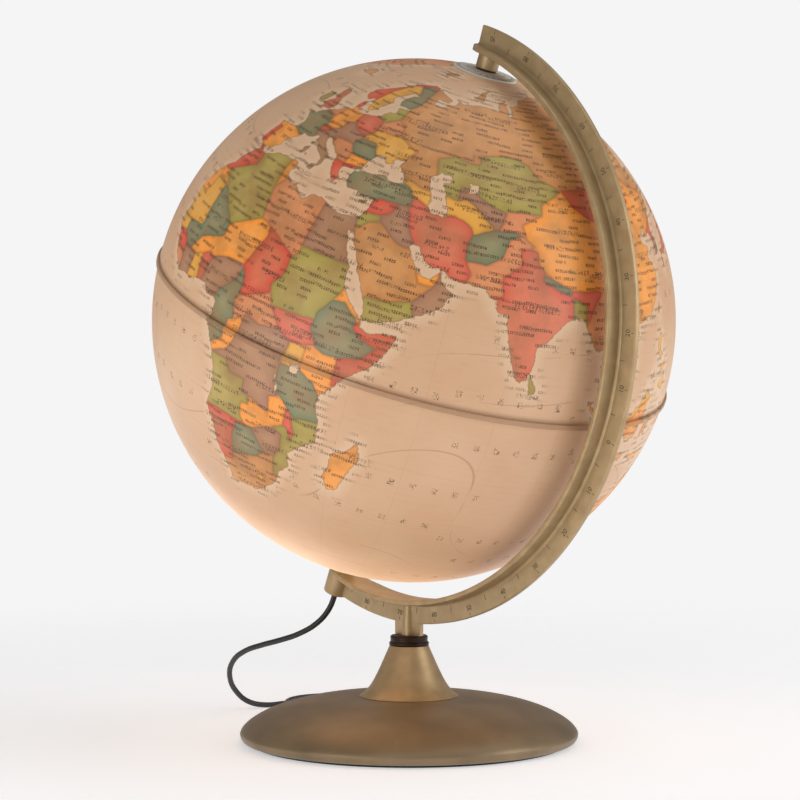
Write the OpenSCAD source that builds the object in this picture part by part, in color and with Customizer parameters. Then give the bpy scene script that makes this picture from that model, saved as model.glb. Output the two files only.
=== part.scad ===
/* [Ball] */
// Outside diameter of the map ball
ball_d = 300; // [290:1:302]
// Wall thickness of the translucent shells
ball_wall = 2; // [1.5:0.1:3]
// Height of the rib over the equator joint
band_h = 3; // [2:0.5:5]
// How far the equator rib stands out of the ball
band_proud = 1.5; // [0.8:0.1:2]
// Diameter of the hour disc at the north pole
hour_d = 36; // [30:1:44]
// Tilt of the ball's axis from upright
tilt = 23.5; // [20:0.5:26]
// Height of the ball's centre over the table
centre_z = 243; // [238:1:252]
// How far the ball's centre stands out from the post
centre_x = 4; // [0:1:8]

/* [Arm] */
// Inside radius of the half meridian
arm_r = 160; // [158:1:165]
// Thickness of the arm's inner flange
flange_t = 3; // [2:0.5:4]
// Width of the arm's inner flange
flange_w = 21; // [16:1:26]
// Radial height of the arm's web
web_h = 11; // [8:1:14]
// Thickness of the arm's web
web_t = 3; // [2:0.5:4]
// Diameter of the north pole boss
boss_d = 12.6; // [12:0.2:15]
// Diameter of the south pole boss, which the lamp tube passes through
foot_boss_d = 15; // [14:0.2:16]
// Distance from the ball's centre to the foot of the south boss
south_end = 175; // [173:1:182]
// Width of the post plate under the arm
post_w = 21.6; // [16:0.2:22]

/* [Stand] */
// Diameter of the base disc
base_d = 195; // [180:1:210]
// Height of the base disc's crown
crown_z = 27; // [24:1:32]
// Height of the rim's widest line
rim_z = 6; // [5:0.5:9]
// Sheet thickness of the base disc
sheet = 2; // [1.5:0.5:3]
// Height of the cone's top, where the collar sits
cone_z = 56; // [52:1:60]
// Height of the collar's top, where the post sits
collar_z = 62; // [60:0.5:66]

/* [Cord] */
// Diameter of the mains cord
cord_d = 3.4; // [3.2:0.1:3.8]
// Mid-turn radius of the coil's outer turn
coil_r = 30.6; // [30.6:0.1:32]
// Number of turns side by side in each of the coil's two layers
coil_turns = 6; // [5:1:6]

/* [Hidden] */
$fn = 96;
ball_r = ball_d / 2;
inner_r = ball_r - ball_wall;
flange_r = arm_r + flange_t;
web_r = flange_r + web_h;
base_r = base_d / 2;
// Running gap at the two pole bearings
run = 0.08;
// Axle, lamp tube and stay bolt radii
axle_r = 2;
tube_r = 5;
stay_r = 2.5;
column_r = 4.4;
bearing_r = 9;
// Axial places along the pole axis, measured from the ball's centre
bush_top = ball_r + 1.1;
bush_foot = -ball_r - 0.7;
washer_top = bush_foot - 0.3;
washer_foot = washer_top - 1.6;
tube_top = -92;
gland_h = 4;
holder_foot = -100;
holder_top = -42;
// Base levels, and the radius inside which the crown is flat
crown_flat = 30;
pad_h = 1.5;
plate_top = pad_h + 2;
weight_top = 15;
pocket_top = 11;
stay_top = 74;
screw_ring_r = 60;
// Coil and cord; the ties under the coil lift it by their own thickness
cord_r = cord_d / 2;
tie_t = 0.8;
tie_w = 6;
tie_turns = [88, 268];
coil_in = coil_r - (coil_turns - 1) * cord_d;
coil_at = [-127, 50, 0];
coil_start = 138;
coil_point = coil_at + coil_r * [cos(coil_start), sin(coil_start), 0];
plug_at = [-48.5, 124.5, 7];
plug_turn = 228;
cord_exit = [centre_x - south_end * sin(tilt), 0, centre_z - south_end * cos(tilt)];

// The cord's free stretch, from the south boss down to the coil
cord_route = concat([cord_exit], [
    [-71, -1, 72], [-80, -3, 63], [-92, -7, 56], [-107, -10, 51], [-122, -12, 47],
    [-138, -13, 42], [-153, -11, 34], [-164, -5, 23], [-170, 5, 12], [-171, 16, 4.5],
    [-169, 28, 1.7], [-167, 42, 1.7], [-161, 57, 1.9]],
    [coil_point + [0, 0, tie_t + cord_r]]);

// The cord's tail, from the top of the coil to the plug
tail_route = concat([coil_point + [0, 0, tie_t + 3 * cord_r]], [
    [-139, 82, 4.8], [-126, 94, 2.6], [-112, 109, 1.7], [-96, 126, 1.7], [-80, 142, 1.7],
    [-66, 151, 1.7], [-51, 153, 1.7], [-41, 146, 2.6], [-41, 135, 5]],
    [plug_at]);

// Moves children from the pole axis frame, ball centre at its origin, into place.
module on_axis() {
    translate([centre_x, 0, centre_z]) rotate([0, tilt, 0]) children();
}

// A cylinder between two heights.
module post(z0, z1, r) {
    translate([0, 0, z0]) cylinder(h = z1 - z0, r = r);
}

// A round ring between two heights.
module ring(z0, z1, r_out, r_in) {
    difference() {
        post(z0, z1, r_out);
        post(z0 - 1, z1 + 1, r_in);
    }
}

// Dome height at radius r: a flat crown that curves down to the rim.
function dome_z(r, edge, low, high) =
    let (x = max(0, (r - crown_flat) / (edge - crown_flat)))
    low + (high - low) * pow(max(0, 1 - x * x), 0.625);
function dome(edge, low, high, inside) =
    [for (i = [0:24]) let (a = i * 90 / 24, r = inside + (edge - inside) * sin(a))
        [r, dome_z(r, edge, low, high)]];

module base_shell() {
    rim_in = base_r - sheet;
    lip_r = rim_in - 1.2;
    under = base_r - 4;
    hole_r = column_r + 1.6;
    color([0.44, 0.35, 0.26])
        rotate_extrude()
            polygon(concat(
                dome(base_r, rim_z, crown_z, hole_r),
                [for (i = [1:5]) let (a = i * 15)
                    [under + 4 * cos(a), rim_z - (rim_z - pad_h) * sin(a)]],
                [[under, pad_h], [under - 2, pad_h], [lip_r, rim_z]],
                [for (i = [24:-1:0]) let (a = i * 90 / 24, r = hole_r + (rim_in - hole_r) * sin(a))
                    if (r < lip_r - 0.2) [r, dome_z(r, rim_in, rim_z, crown_z - sheet)]]));
}

module base_weight() {
    hub_r = 24;
    edge_r = 80;
    color([0.2, 0.2, 0.21])
        difference() {
            union() {
                post(plate_top, weight_top, edge_r);
                post(weight_top - 1, crown_z - sheet, hub_r);
            }
            post(plate_top - 1, pocket_top, 12);
            post(0, crown_z, stay_r + 0.3);
            for (i = [0:2]) rotate([0, 0, 120 * i])
                translate([screw_ring_r, 0, 0]) post(0, 12, 1.5);
        }
}

module base_plate() {
    color([0.12, 0.12, 0.12])
        difference() {
            post(pad_h, plate_top, base_r - 6);
            post(0, plate_top + 1, 12);
            for (i = [0:2]) rotate([0, 0, 120 * i]) translate([screw_ring_r, 0, 0]) {
                post(0, plate_top + 1, 1.6);
                post(0, pad_h + 1.2, 3.1);
            }
        }
}

module felt_pad() {
    color([0.07, 0.08, 0.07]) post(0, pad_h, base_r - 7);
}

module cover_screws() {
    color([0.6, 0.6, 0.6])
        for (i = [0:2]) rotate([0, 0, 120 * i]) translate([screw_ring_r, 0, 0]) {
            post(pad_h + 1.2, 11.5, 1.5);
            difference() {
                post(pad_h + 0.1, pad_h + 1.2, 3);
                translate([-0.4, -2.6, pad_h]) cube([0.8, 5.2, 0.6]);
            }
        }
}

module pedestal_cone() {
    top_r = 11.3;
    color([0.56, 0.45, 0.32])
        rotate_extrude()
            polygon(concat(
                [[column_r, crown_z], [28.6, crown_z], [28.9, crown_z + 0.8]],
                [for (i = [1:14]) let (z = crown_z + 0.8 + (cone_z - crown_z - 0.8) * pow(i / 14, 1.6))
                    [top_r + 0.44 * (cone_z - z) + 4.8 * exp(-(z - crown_z) / 4), z]],
                [[column_r, cone_z]]));
}

module collar() {
    lip_r = 11.5;
    top_r = 10.9;
    step_z = cone_z + 2.2;
    color([0.2, 0.12, 0.06])
        rotate_extrude()
            polygon([[column_r, cone_z], [lip_r - 0.4, cone_z], [lip_r, cone_z + 0.5],
                [lip_r, step_z - 0.5], [lip_r - 0.5, step_z], [top_r - 0.3, step_z + 0.3],
                [top_r, collar_z - 0.8], [top_r - 0.7, collar_z], [column_r, collar_z]]);
}

module stay_bolt() {
    color([0.6, 0.6, 0.6]) post(plate_top + 0.2, stay_top, stay_r);
}

module stay_washer() {
    color([0.62, 0.62, 0.62]) ring(pocket_top - 1.2, pocket_top, 10, stay_r);
}

module stay_nut() {
    color([0.62, 0.62, 0.62])
        difference() {
            translate([0, 0, pocket_top - 5.7]) cylinder(h = 4.5, r = 4.6, $fn = 6);
            post(0, pocket_top, stay_r);
        }
}

// What narrows the flange to the south boss over the last of its length, on both sides.
module taper_cuts() {
    reach = 24;
    narrow = foot_boss_d / 2 - 0.4;
    rotate([0, 0, -tilt])
        for (side = [-1, 1])
            translate([0, -arm_r + 6, 0]) rotate([90, 0, 0])
                linear_extrude(height = 12)
                    polygon([[-2, side * narrow], [0, side * narrow], [reach, side * (flange_w / 2 + 0.01)],
                             [reach, side * (flange_w / 2 + 2)], [-2, side * (flange_w / 2 + 2)]]);
}

// The arm: a T-shaped half meridian with both pole bosses, its post plate and the ribbed column.
module arm() {
    end_turn = 3.5;
    post_foot = 44;
    color([0.55, 0.44, 0.32])
        difference() {
            union() {
                translate([centre_x, 0, centre_z]) rotate([90, 0, 0]) {
                    difference() {
                        rotate([0, 0, -90 - tilt])
                            rotate_extrude(angle = 180, $fn = 180)
                                translate([arm_r, -flange_w / 2]) square([flange_t, flange_w]);
                        taper_cuts();
                    }
                    rotate([0, 0, -90 - tilt])
                        rotate_extrude(angle = 180 + end_turn, $fn = 180)
                            translate([arm_r + 1, -web_t / 2]) square([web_r - arm_r - 1, web_t]);
                }
                on_axis() {
                    post(arm_r + 0.3, flange_r, flange_w / 2);
                    post(ball_r + 1.6, arm_r + 1, boss_d / 2);
                    post(-south_end, -arm_r - 0.3, foot_boss_d / 2);
                }
                translate([-post_w / 2, -web_t / 2, collar_z])
                    cube([post_w, web_t, centre_z - arm_r - collar_z - 1.5]);
                translate([0, 0, collar_z])
                    cylinder(h = centre_z - arm_r - collar_z - 1.5, r1 = column_r, r2 = 3.4);
                post(post_foot, collar_z + 1, column_r);
            }
            on_axis() {
                post(ball_r, arm_r + 1.5, axle_r);
                post(-south_end - 1, -arm_r + 1, tube_r);
            }
            post(post_foot - 1, stay_top, stay_r);
        }
}

module axle_pin() {
    color([0.7, 0.68, 0.62]) on_axis() post(ball_r - 5.5, arm_r + 1.5, axle_r);
}

module lamp_tube() {
    color([0.75, 0.75, 0.73]) on_axis() ring(-south_end + gland_h, tube_top, tube_r, tube_r - 1.4);
}

module tube_nut() {
    color([0.75, 0.75, 0.73])
        on_axis() difference() {
            translate([0, 0, holder_foot - 6]) cylinder(h = 4, r = 8.5, $fn = 6);
            post(holder_foot - 7, holder_foot, tube_r);
        }
}

module south_spacer() {
    color([0.55, 0.44, 0.32]) on_axis() ring(-arm_r + 0.13, washer_foot, foot_boss_d / 2, tube_r);
}

module thrust_washer() {
    color([0.93, 0.92, 0.88]) on_axis() ring(washer_foot, washer_top, bearing_r - 0.5, tube_r);
}

module lamp_holder() {
    color([0.95, 0.95, 0.93])
        on_axis() difference() {
            union() {
                post(holder_foot - 2, holder_foot + 14, 10);
                post(holder_foot + 14, holder_top, 14);
            }
            post(holder_foot - 3, tube_top, tube_r);
            post(holder_top - 26, holder_top + 1, 7);
        }
}

module bulb_cap() {
    color([0.8, 0.78, 0.7])
        on_axis() {
            post(holder_top - 26, holder_top - 23, 3);
            post(holder_top - 23, holder_top + 1, 7);
        }
}

module bulb_glass() {
    glass_r = 22.5;
    neck_z = holder_top + 1;
    color([0.97, 0.96, 0.9])
        on_axis() {
            post(neck_z, neck_z + 10, 11);
            translate([0, 0, neck_z + 28]) sphere(r = glass_r);
        }
}

// Half of the hollow ball, above or below the equator plane, with its pole hole.
module half_shell(hole_r) {
    difference() {
        sphere(r = ball_r, $fn = 180);
        sphere(r = inner_r, $fn = 180);
        translate([0, 0, -ball_r]) cube([2 * ball_r + 2, 2 * ball_r + 2, 2 * ball_r], center = true);
        post(inner_r / 2, ball_r + 1, hole_r);
    }
}

module north_shell() {
    color([0.86, 0.66, 0.48]) on_axis() half_shell(6);
}

module south_shell() {
    color([0.88, 0.72, 0.56]) on_axis() mirror([0, 0, 1]) half_shell(bearing_r);
}

module equator_band() {
    color([0.62, 0.45, 0.28])
        on_axis() ring(-band_h / 2, band_h / 2, ball_r + band_proud, ball_r);
}

// The hidden ring that locates the two shells on each other.
module joint_ring() {
    lap = 6;
    lap_r = sqrt(inner_r * inner_r - lap * lap);
    color([0.9, 0.88, 0.84]) on_axis() ring(-lap, lap, lap_r, lap_r - 3);
}

module hour_disc() {
    disc_t = 0.9;
    color([0.86, 0.85, 0.82])
        on_axis() difference() {
            intersection() {
                sphere(r = ball_r + disc_t, $fn = 180);
                post(ball_r - 10, ball_r + 2, hour_d / 2);
            }
            sphere(r = ball_r, $fn = 180);
            post(ball_r - 10, ball_r + 2, 6);
        }
}

module pole_bush() {
    color([0.5, 0.38, 0.24])
        on_axis() difference() {
            union() {
                post(ball_r - 5.5, bush_top, 6);
                post(ball_r - 6.5, ball_r - 2.6, 9);
            }
            post(ball_r - 7, bush_top + 1, axle_r + run);
        }
}

module south_bush() {
    color([0.9, 0.88, 0.84])
        on_axis() difference() {
            union() {
                post(bush_foot, -ball_r + 5.5, bearing_r);
                post(-ball_r + 2.9, -ball_r + 5.5, 13);
            }
            post(bush_foot - 1, -ball_r + 6, tube_r + run);
        }
}

module cord_gland() {
    color([0.08, 0.08, 0.08]) on_axis() ring(-south_end, -south_end + gland_h, tube_r, cord_r);
}

// Points of a smooth curve through the route, two steps to a leg.
steps = 2;
function bend(p0, p1, p2, p3, t) =
    0.5 * (2 * p1 + (p2 - p0) * t + (2 * p0 - 5 * p1 + 4 * p2 - p3) * t * t
        + (3 * p1 - p0 - 3 * p2 + p3) * t * t * t);
function smooth(route) =
    let (n = len(route), first = 2 * route[0] - route[1], last = 2 * route[n - 1] - route[n - 2])
    concat([for (i = [0:n - 2]) for (k = [0:steps - 1])
        bend(i == 0 ? first : route[i - 1], route[i], route[i + 1],
            i == n - 2 ? last : route[i + 2], k / steps)], [route[n - 1]]);
function unit(v) = v / norm(v);

// A round tube swept along a list of points, as one closed polyhedron.
module swept(points, r, sides) {
    n = len(points);
    heading = [for (i = [0:n - 1]) unit(points[min(i + 1, n - 1)] - points[max(i - 1, 0)])];
    rings = [for (i = [0:n - 1])
        let (side = unit(cross(heading[i], [0, 0, 1])), up = cross(side, heading[i]))
        for (k = [0:sides - 1]) let (a = (k + 0.5) * 360 / sides)
            points[i] + r * (cos(a) * side + sin(a) * up)];
    quads = [for (i = [0:n - 2]) for (k = [0:sides - 1]) let (j = (k + 1) % sides)
        [i * sides + k, (i + 1) * sides + k, (i + 1) * sides + j, i * sides + j]];
    caps = [[for (k = [0:sides - 1]) k], [for (k = [sides - 1:-1:0]) (n - 1) * sides + k]];
    polyhedron(points = rings, faces = concat(quads, caps));
}

module cord() {
    color([0.04, 0.04, 0.04]) swept(smooth(cord_route), cord_r, 8);
}

module cord_coil() {
    color([0.04, 0.04, 0.04])
        translate(coil_at) ring(tie_t, tie_t + 2 * cord_d, coil_r + cord_r, coil_in - cord_r);
}

// Flat ties round the coil's bundle.
module coil_ties() {
    low = coil_in - cord_r - 0.4;
    high = coil_r + cord_r;
    top = tie_t + 2 * cord_d;
    color([0.1, 0.1, 0.1])
        translate(coil_at)
            for (turn = tie_turns) rotate([0, 0, turn]) difference() {
                translate([low - tie_t, -tie_w / 2, 0]) cube([high - low + 2 * tie_t, tie_w, top + tie_t]);
                translate([low, -tie_w, tie_t]) cube([high - low, 2 * tie_w, top - tie_t]);
            }
}

module cord_tail() {
    color([0.04, 0.04, 0.04]) swept(smooth(tail_route), cord_r, 8);
}

module plug_frame() {
    translate(plug_at) rotate([0, 0, plug_turn]) rotate([0, 90, 0]) children();
}

// A flat two-pin mains plug lying on its side, with a tapered strain relief at the cord end.
module plug_body() {
    relief_l = 20;
    body_l = 34;
    color([0.05, 0.05, 0.05])
        plug_frame() {
            difference() {
                cylinder(h = relief_l, r1 = 2.6, r2 = 4.6);
                translate([0, 0, -1]) cylinder(h = 1 + 0.01, r = cord_r);
            }
            hull() {
                translate([0, 0, relief_l + body_l - 12]) linear_extrude(12)
                    for (side = [-1, 1]) translate([0, side * 11]) circle(r = 6.6, $fn = 32);
                translate([0, 0, relief_l]) linear_extrude(1)
                    for (side = [-1, 1]) translate([0, side * 4]) circle(r = 4.8, $fn = 32);
            }
        }
}

module plug_pins() {
    pin_r = 2;
    pin_l = 19;
    pin_gap = 18.6;
    color([0.8, 0.8, 0.78])
        plug_frame()
            for (side = [-1, 1]) translate([0, side * pin_gap / 2, 54])
                cylinder(h = pin_l, r = pin_r);
}

base_shell();
base_weight();
base_plate();
felt_pad();
cover_screws();
pedestal_cone();
collar();
stay_bolt();
stay_washer();
stay_nut();
arm();
axle_pin();
lamp_tube();
tube_nut();
south_spacer();
thrust_washer();
lamp_holder();
bulb_cap();
bulb_glass();
north_shell();
south_shell();
equator_band();
joint_ring();
hour_disc();
pole_bush();
south_bush();
cord_gland();
cord();
cord_coil();
coil_ties();
cord_tail();
plug_body();
plug_pins();
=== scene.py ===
"""The looks of a lit desk globe on a tilted half meridian arm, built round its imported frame.

All lengths here are in millimetres until a mesh is filled, which turns them to metres.
"""
from functools import partial
import bmesh
import bpy
import numpy as np
from mathutils import Euler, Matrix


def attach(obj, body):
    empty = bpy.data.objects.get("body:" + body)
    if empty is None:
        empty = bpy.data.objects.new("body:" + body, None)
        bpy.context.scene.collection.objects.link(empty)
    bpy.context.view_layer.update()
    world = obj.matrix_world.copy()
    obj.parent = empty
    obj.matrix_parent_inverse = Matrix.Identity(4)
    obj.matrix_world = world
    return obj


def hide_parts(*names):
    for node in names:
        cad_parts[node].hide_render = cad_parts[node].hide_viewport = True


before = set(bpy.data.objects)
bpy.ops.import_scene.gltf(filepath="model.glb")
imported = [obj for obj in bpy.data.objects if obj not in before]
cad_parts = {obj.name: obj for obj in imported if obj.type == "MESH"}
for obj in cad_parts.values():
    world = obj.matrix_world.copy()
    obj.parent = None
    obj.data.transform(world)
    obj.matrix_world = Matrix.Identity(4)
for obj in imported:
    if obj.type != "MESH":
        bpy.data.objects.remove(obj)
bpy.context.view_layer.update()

MM = 0.001
TILT = np.radians(23.5)
CENTRE = np.array([4.0, 0.0, 243.0])
BALL_R = 150.0
ARM_R = 160.0
FLANGE_R = 163.0
WEB_R = 174.0
FLANGE_W = 21.0
WEB_T = 3.0
SOUTH_END = 175.0
NORTH_HOLE_R = 6.0
SOUTH_HOLE_R = 9.0
SKIN = 2.0  # thickness of the shells
DISC_R = 18.0  # outer radius of the hour disc
BASE_R = 97.5
CROWN_Z = 27.0
CONE_Z = 56.0
COLLAR_Z = 62.0
BORE_R = 4.4  # radius of the bore through the cone and the collar
CORD_R = 1.7
ACROSS = np.array([np.cos(TILT), 0.0, -np.sin(TILT)])
SIDE = np.array([0.0, 1.0, 0.0])
POLE = np.array([np.sin(TILT), 0.0, np.cos(TILT)])
UPRIGHT = (np.zeros(3), np.array([1.0, 0, 0]), SIDE, np.array([0, 0, 1.0]))
TILTED = (CENTRE, ACROSS, SIDE, POLE)
ARM_PLANE = (CENTRE, ACROSS, POLE, SIDE)


def place(where, x, y, z):
    """Point = origin + x e1 + y e2 + z e3 of a frame, for whole arrays of x, y and z."""
    origin, e1, e2, e3 = where
    x, y, z = np.broadcast_arrays(x, y, z)
    return origin + x[..., None] * e1 + y[..., None] * e2 + z[..., None] * e3


# ---- Camera -------------------------------------------------------------------------------------

camera = bpy.data.objects.new("camera", bpy.data.cameras.new("camera"))
camera.data.lens = 101.6
camera.data.sensor_width = 36
camera.data.clip_end = 60
camera.location = (0.972, -0.870, 0.200)
camera.rotation_euler = Euler((np.radians(89.9), 0, np.radians(48.4)))
bpy.context.scene.collection.objects.link(camera)
bpy.context.scene.camera = camera
bpy.context.scene.view_settings.view_transform = "Standard"


# ---- Materials ----------------------------------------------------------------------------------

def paint(code):
    """An sRGB hex colour as linear light: s / 12.92 up to 0.04045, then ((s + 0.055) / 1.055)^2.4."""
    s = np.array([int(code[i:i + 2], 16) for i in (0, 2, 4)]) / 255
    return (*np.where(s <= 0.04045, s / 12.92, ((s + 0.055) / 1.055) ** 2.4), 1.0)


def node(tree, kind, *values, **settings):
    """Adds a node, such as "TexNoise" or "Math:ADD" with its operation, and its settings. Values or
    links go to its inputs in order, or as one dict by name or number. Gives its first live output."""
    kind, _, operation = kind.partition(":")
    made = tree.nodes.new("ShaderNode" + kind)
    if operation:
        made.operation = operation
    for key, value in settings.items():
        setattr(made, key, value)
    named = values[0] if values and isinstance(values[0], dict) else dict(enumerate(values))
    for key, value in named.items():
        if isinstance(value, bpy.types.NodeSocket):
            tree.links.new(value, made.inputs[key])
        else:
            made.inputs[key].default_value = value
    return next((out for out in made.outputs if out.enabled), made)


def finish_of(name, **uniform):
    """A new material with a principled shader, whose uniform values sit on its own sockets."""
    made = bpy.data.materials.new(name)
    made.use_nodes = True
    shader = made.node_tree.nodes["Principled BSDF"]
    for key, value in uniform.items():
        shader.inputs[key.replace("_", " ")].default_value = value
    return made, made.node_tree, shader


def surfaced(made, colour, fine, rough, strength, depth):
    """Links a colour to a finish, and one fine noise to its roughness and its bump, depth mm high."""
    tree = made.node_tree
    bump = node(tree, "Bump", {"Height": fine, "Strength": strength, "Distance": depth * MM})
    for key, value in (("Base Color", colour), ("Normal", bump),
                       ("Roughness", node(tree, "MapRange", fine, 0.0, 1.0, *rough))):
        tree.links.new(value, tree.nodes["Principled BSDF"].inputs[key])
    return made


def mottled(name, light, dark, grain, depth, spread=0.5, rough=(0.4, 0.5), **uniform):
    """A finish whose colour and roughness drift between two values with noise of a real grain.

    grain is the size in mm of the colour's patches, and of the bump, which is depth mm high.
    """
    made, tree, _ = finish_of(name, **uniform)
    spot = node(tree, "TexCoord").node.outputs["Object"]
    patches, fine = (node(tree, "TexNoise", {"Vector": spot, "Scale": 1 / (size * MM),
                                             "Detail": detail})
                     for size, detail in zip(grain, (4, 3)))
    drift = node(tree, "MapRange", patches, 0.5 - spread / 2, 0.5 + spread / 2)
    colour = node(tree, "Mix", {0: drift, 6: paint(dark), 7: paint(light)}, data_type="RGBA")
    return surfaced(made, colour, fine, rough, 0.5, depth)


# Satin bronze lacquer over a casting: flakes scatter a warm sheen, and rubbed places go paler.
bronze = mottled("satin_bronze_lacquer", "BDA47C", "A28963", (9, 0.35), 0.02, 0.6, (0.34, 0.5),
                 Metallic=0.5, Coat_Weight=0.15, Coat_Roughness=0.35)
# The same lacquer sprayed on the spun steel base, a shade darker and softer.
base_bronze = mottled("satin_bronze_on_spun_steel", "9A8465", "75634B", (30, 0.4), 0.02, 0.6,
                      (0.38, 0.5), Metallic=0.5, Coat_Weight=0.1, Coat_Roughness=0.4)
# Dark brown moulded ABS with a dull gloss.
dark_brown = mottled("dark_brown_moulded_abs", "2E190B", "201006", (4, 0.3), 0.015, 0.5,
                     (0.3, 0.42), IOR=1.45, Specular_IOR_Level=0.25)
# Pad-printed ink on the lacquer: matt, thin and nearly black brown.
scale_ink = mottled("pad_printed_scale_ink", "5A4630", "463523", (2, 0.2), 0.005, 0.5, (0.6, 0.75))
# Cast iron ballast, rough from the sand mould.
iron = mottled("sand_cast_iron", "4A4A4C", "303032", (3, 0.8), 0.12, 0.6, (0.6, 0.85), Metallic=0.6)
# Black polypropylene cover with a faint moulded grain.
cover = mottled("black_polypropylene", "232322", "181817", (6, 0.7), 0.03, 0.5, (0.45, 0.6), IOR=1.49)
# Pressed wool felt: matt, dark, with tufts of fibre.
felt = mottled("pressed_wool_felt", "2B2D29", "191B18", (1.2, 0.25), 0.25, 0.5, (0.9, 1.0),
               Sheen_Weight=0.5)
# Zinc-plated steel: a cold, slightly clouded shine.
zinc = mottled("zinc_plated_steel", "B9BBBA", "9A9C9C", (2.5, 0.3), 0.01, 0.5, (0.25, 0.42),
               Metallic=1.0)
# Nickel-plated brass: clean and warm-white.
nickel = mottled("nickel_plated_brass", "CFCBC0", "B9B4A7", (3, 0.4), 0.005, 0.5, (0.16, 0.3),
                 Metallic=1.0)
# Acetal bearing plastic: waxy, off-white.
acetal = mottled("white_acetal", "E8E4DA", "DCD6C9", (5, 0.5), 0.01, 0.5, (0.35, 0.5), IOR=1.48,
                 Subsurface_Weight=0.1, Subsurface_Scale=0.002)
# Brown nylon bush with a dull worn sheen.
nylon = mottled("brown_nylon", "7C5F40", "634A30", (3, 0.4), 0.015, 0.5, (0.4, 0.55), IOR=1.53)
# Glazed porcelain: bright white under a wet-looking gloss.
porcelain = mottled("glazed_porcelain", "F1EEE6", "E6E1D5", (6, 1.2), 0.01, 0.5, (0.08, 0.16),
                    IOR=1.54, Coat_Weight=0.5)
# Opal glass bulb: milky and even.
opal = mottled("opal_lamp_glass", "FBF5E6", "F1E8D2", (9, 2), 0.004, 0.5, (0.12, 0.2), IOR=1.5,
               Emission_Color=paint("FFE3B4"), Emission_Strength=0.6)
# White high-impact polystyrene, as the unprinted inside of the shells.
styrene = mottled("white_polystyrene", "EFE9DD", "E2DACA", (8, 0.8), 0.02, 0.5, (0.4, 0.55), IOR=1.59)


def cord_finish():
    """Soft black PVC of the cord: fine drag lines and a dull gloss."""
    made, tree, _ = finish_of("black_pvc_cord", IOR=1.53, Coat_Weight=0.08)
    spot = node(tree, "TexCoord").node.outputs["Object"]
    wear, drag = (node(tree, "TexNoise", {"Vector": spot, "Scale": 1 / (size * MM),
                                          "Detail": detail})
                  for size, detail in ((5, 5), (0.5, 2)))
    colour = node(tree, "Mix", {0: wear, 6: paint("131313"), 7: paint("2A2A29")}, data_type="RGBA")
    return surfaced(made, colour, drag, (0.34, 0.52), 0.4, 0.02)


pvc = cord_finish()


# ---- Meshes -------------------------------------------------------------------------------------

def rounded(corners, closed=True, steps=5):
    """An outline whose corners are parabolas that start and end a cut distance along both edges."""
    corners = np.array(corners, float)
    p, cut = corners[:, :2], corners[:, 2:].copy()
    if not closed:
        cut[[0, -1]] = 0
    before, after = np.roll(p, 1, 0) - p, np.roll(p, -1, 0) - p
    before /= np.linalg.norm(before, axis=1, keepdims=True) + 1e-9
    after /= np.linalg.norm(after, axis=1, keepdims=True) + 1e-9
    t = np.linspace(0, 1, steps)[None, :, None]
    start, end = (p + cut * before)[:, None], (p + cut * after)[:, None]
    line = ((1 - t) ** 2 * start + 2 * t * (1 - t) * p[:, None] + t ** 2 * end).reshape(-1, 2)
    keep = np.r_[True, np.linalg.norm(np.diff(line, axis=0), axis=1) > 1e-6]
    return line[keep]


def turned(profile, where=UPRIGHT, columns=192):
    """A profile of radius and height carried round an axis:
    point = origin + r cos(a) e1 + r sin(a) e2 + h e3."""
    a = np.arange(columns) * 2 * np.pi / columns
    r, h = profile[:, :1], profile[:, 1:2]
    return place(where, r * np.cos(a), r * np.sin(a), h)


def capped(grid):
    """The grid with its first and last rows closed by a row drawn in to their middles."""
    first, last = grid[:1].mean(1, keepdims=True), grid[-1:].mean(1, keepdims=True)
    return np.concatenate([first + 0 * grid[:1], grid, last + 0 * grid[-1:]])


def quads_of(rows, columns, wrap_rows, wrap_columns):
    """Corner numbers of a grid's quads, with the last row or column joined to the first on asking,
    and the unwrapped row and column of every corner."""
    i, j = np.meshgrid(np.arange(rows - 1 + wrap_rows), np.arange(columns - 1 + wrap_columns),
                       indexing="ij")
    row = np.stack([i, i, i + 1, i + 1], -1).reshape(-1, 4)
    column = np.stack([j, j + 1, j + 1, j], -1).reshape(-1, 4)
    return (row % rows) * columns + column % columns, row, column


def piece(name, grids, material, body, slot, nodes=(), wrap=(False, True), sharp=35, merge=True,
          outlines=None, fields=None):
    """One object from one or more grids of points in mm.

    outlines is (row values, column values) for a UV map, and fields is {name: values per point}.
    """
    points, quads, start = [], [], 0
    for grid in grids:
        corners, row, column = quads_of(*grid.shape[:2], *wrap)
        points.append(grid.reshape(-1, 3) * MM)
        quads.append(corners + start)
        start += len(points[-1])
    points, quads = np.concatenate(points), np.concatenate(quads)
    mesh = bpy.data.meshes.new(name)
    mesh.vertices.add(len(points))
    mesh.vertices.foreach_set("co", points.ravel())
    mesh.loops.add(quads.size)
    mesh.loops.foreach_set("vertex_index", quads.ravel())
    mesh.polygons.add(len(quads))
    mesh.polygons.foreach_set("loop_start", np.arange(0, quads.size, 4))
    mesh.update(calc_edges=True)
    if outlines:
        layer = mesh.uv_layers.new(name="chart")
        layer.data.foreach_set("uv", np.stack([outlines[1][column], outlines[0][row]], -1).ravel())
    for key, values in (fields or {}).items():
        kind = "FLOAT_VECTOR" if values.ndim == 2 else "FLOAT"
        mesh.attributes.new(key, kind, "POINT").data.foreach_set(
            "vector" if values.ndim == 2 else "value", values.ravel())
    return dressed(name, mesh, material, body, slot, nodes, sharp, merge)


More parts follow.
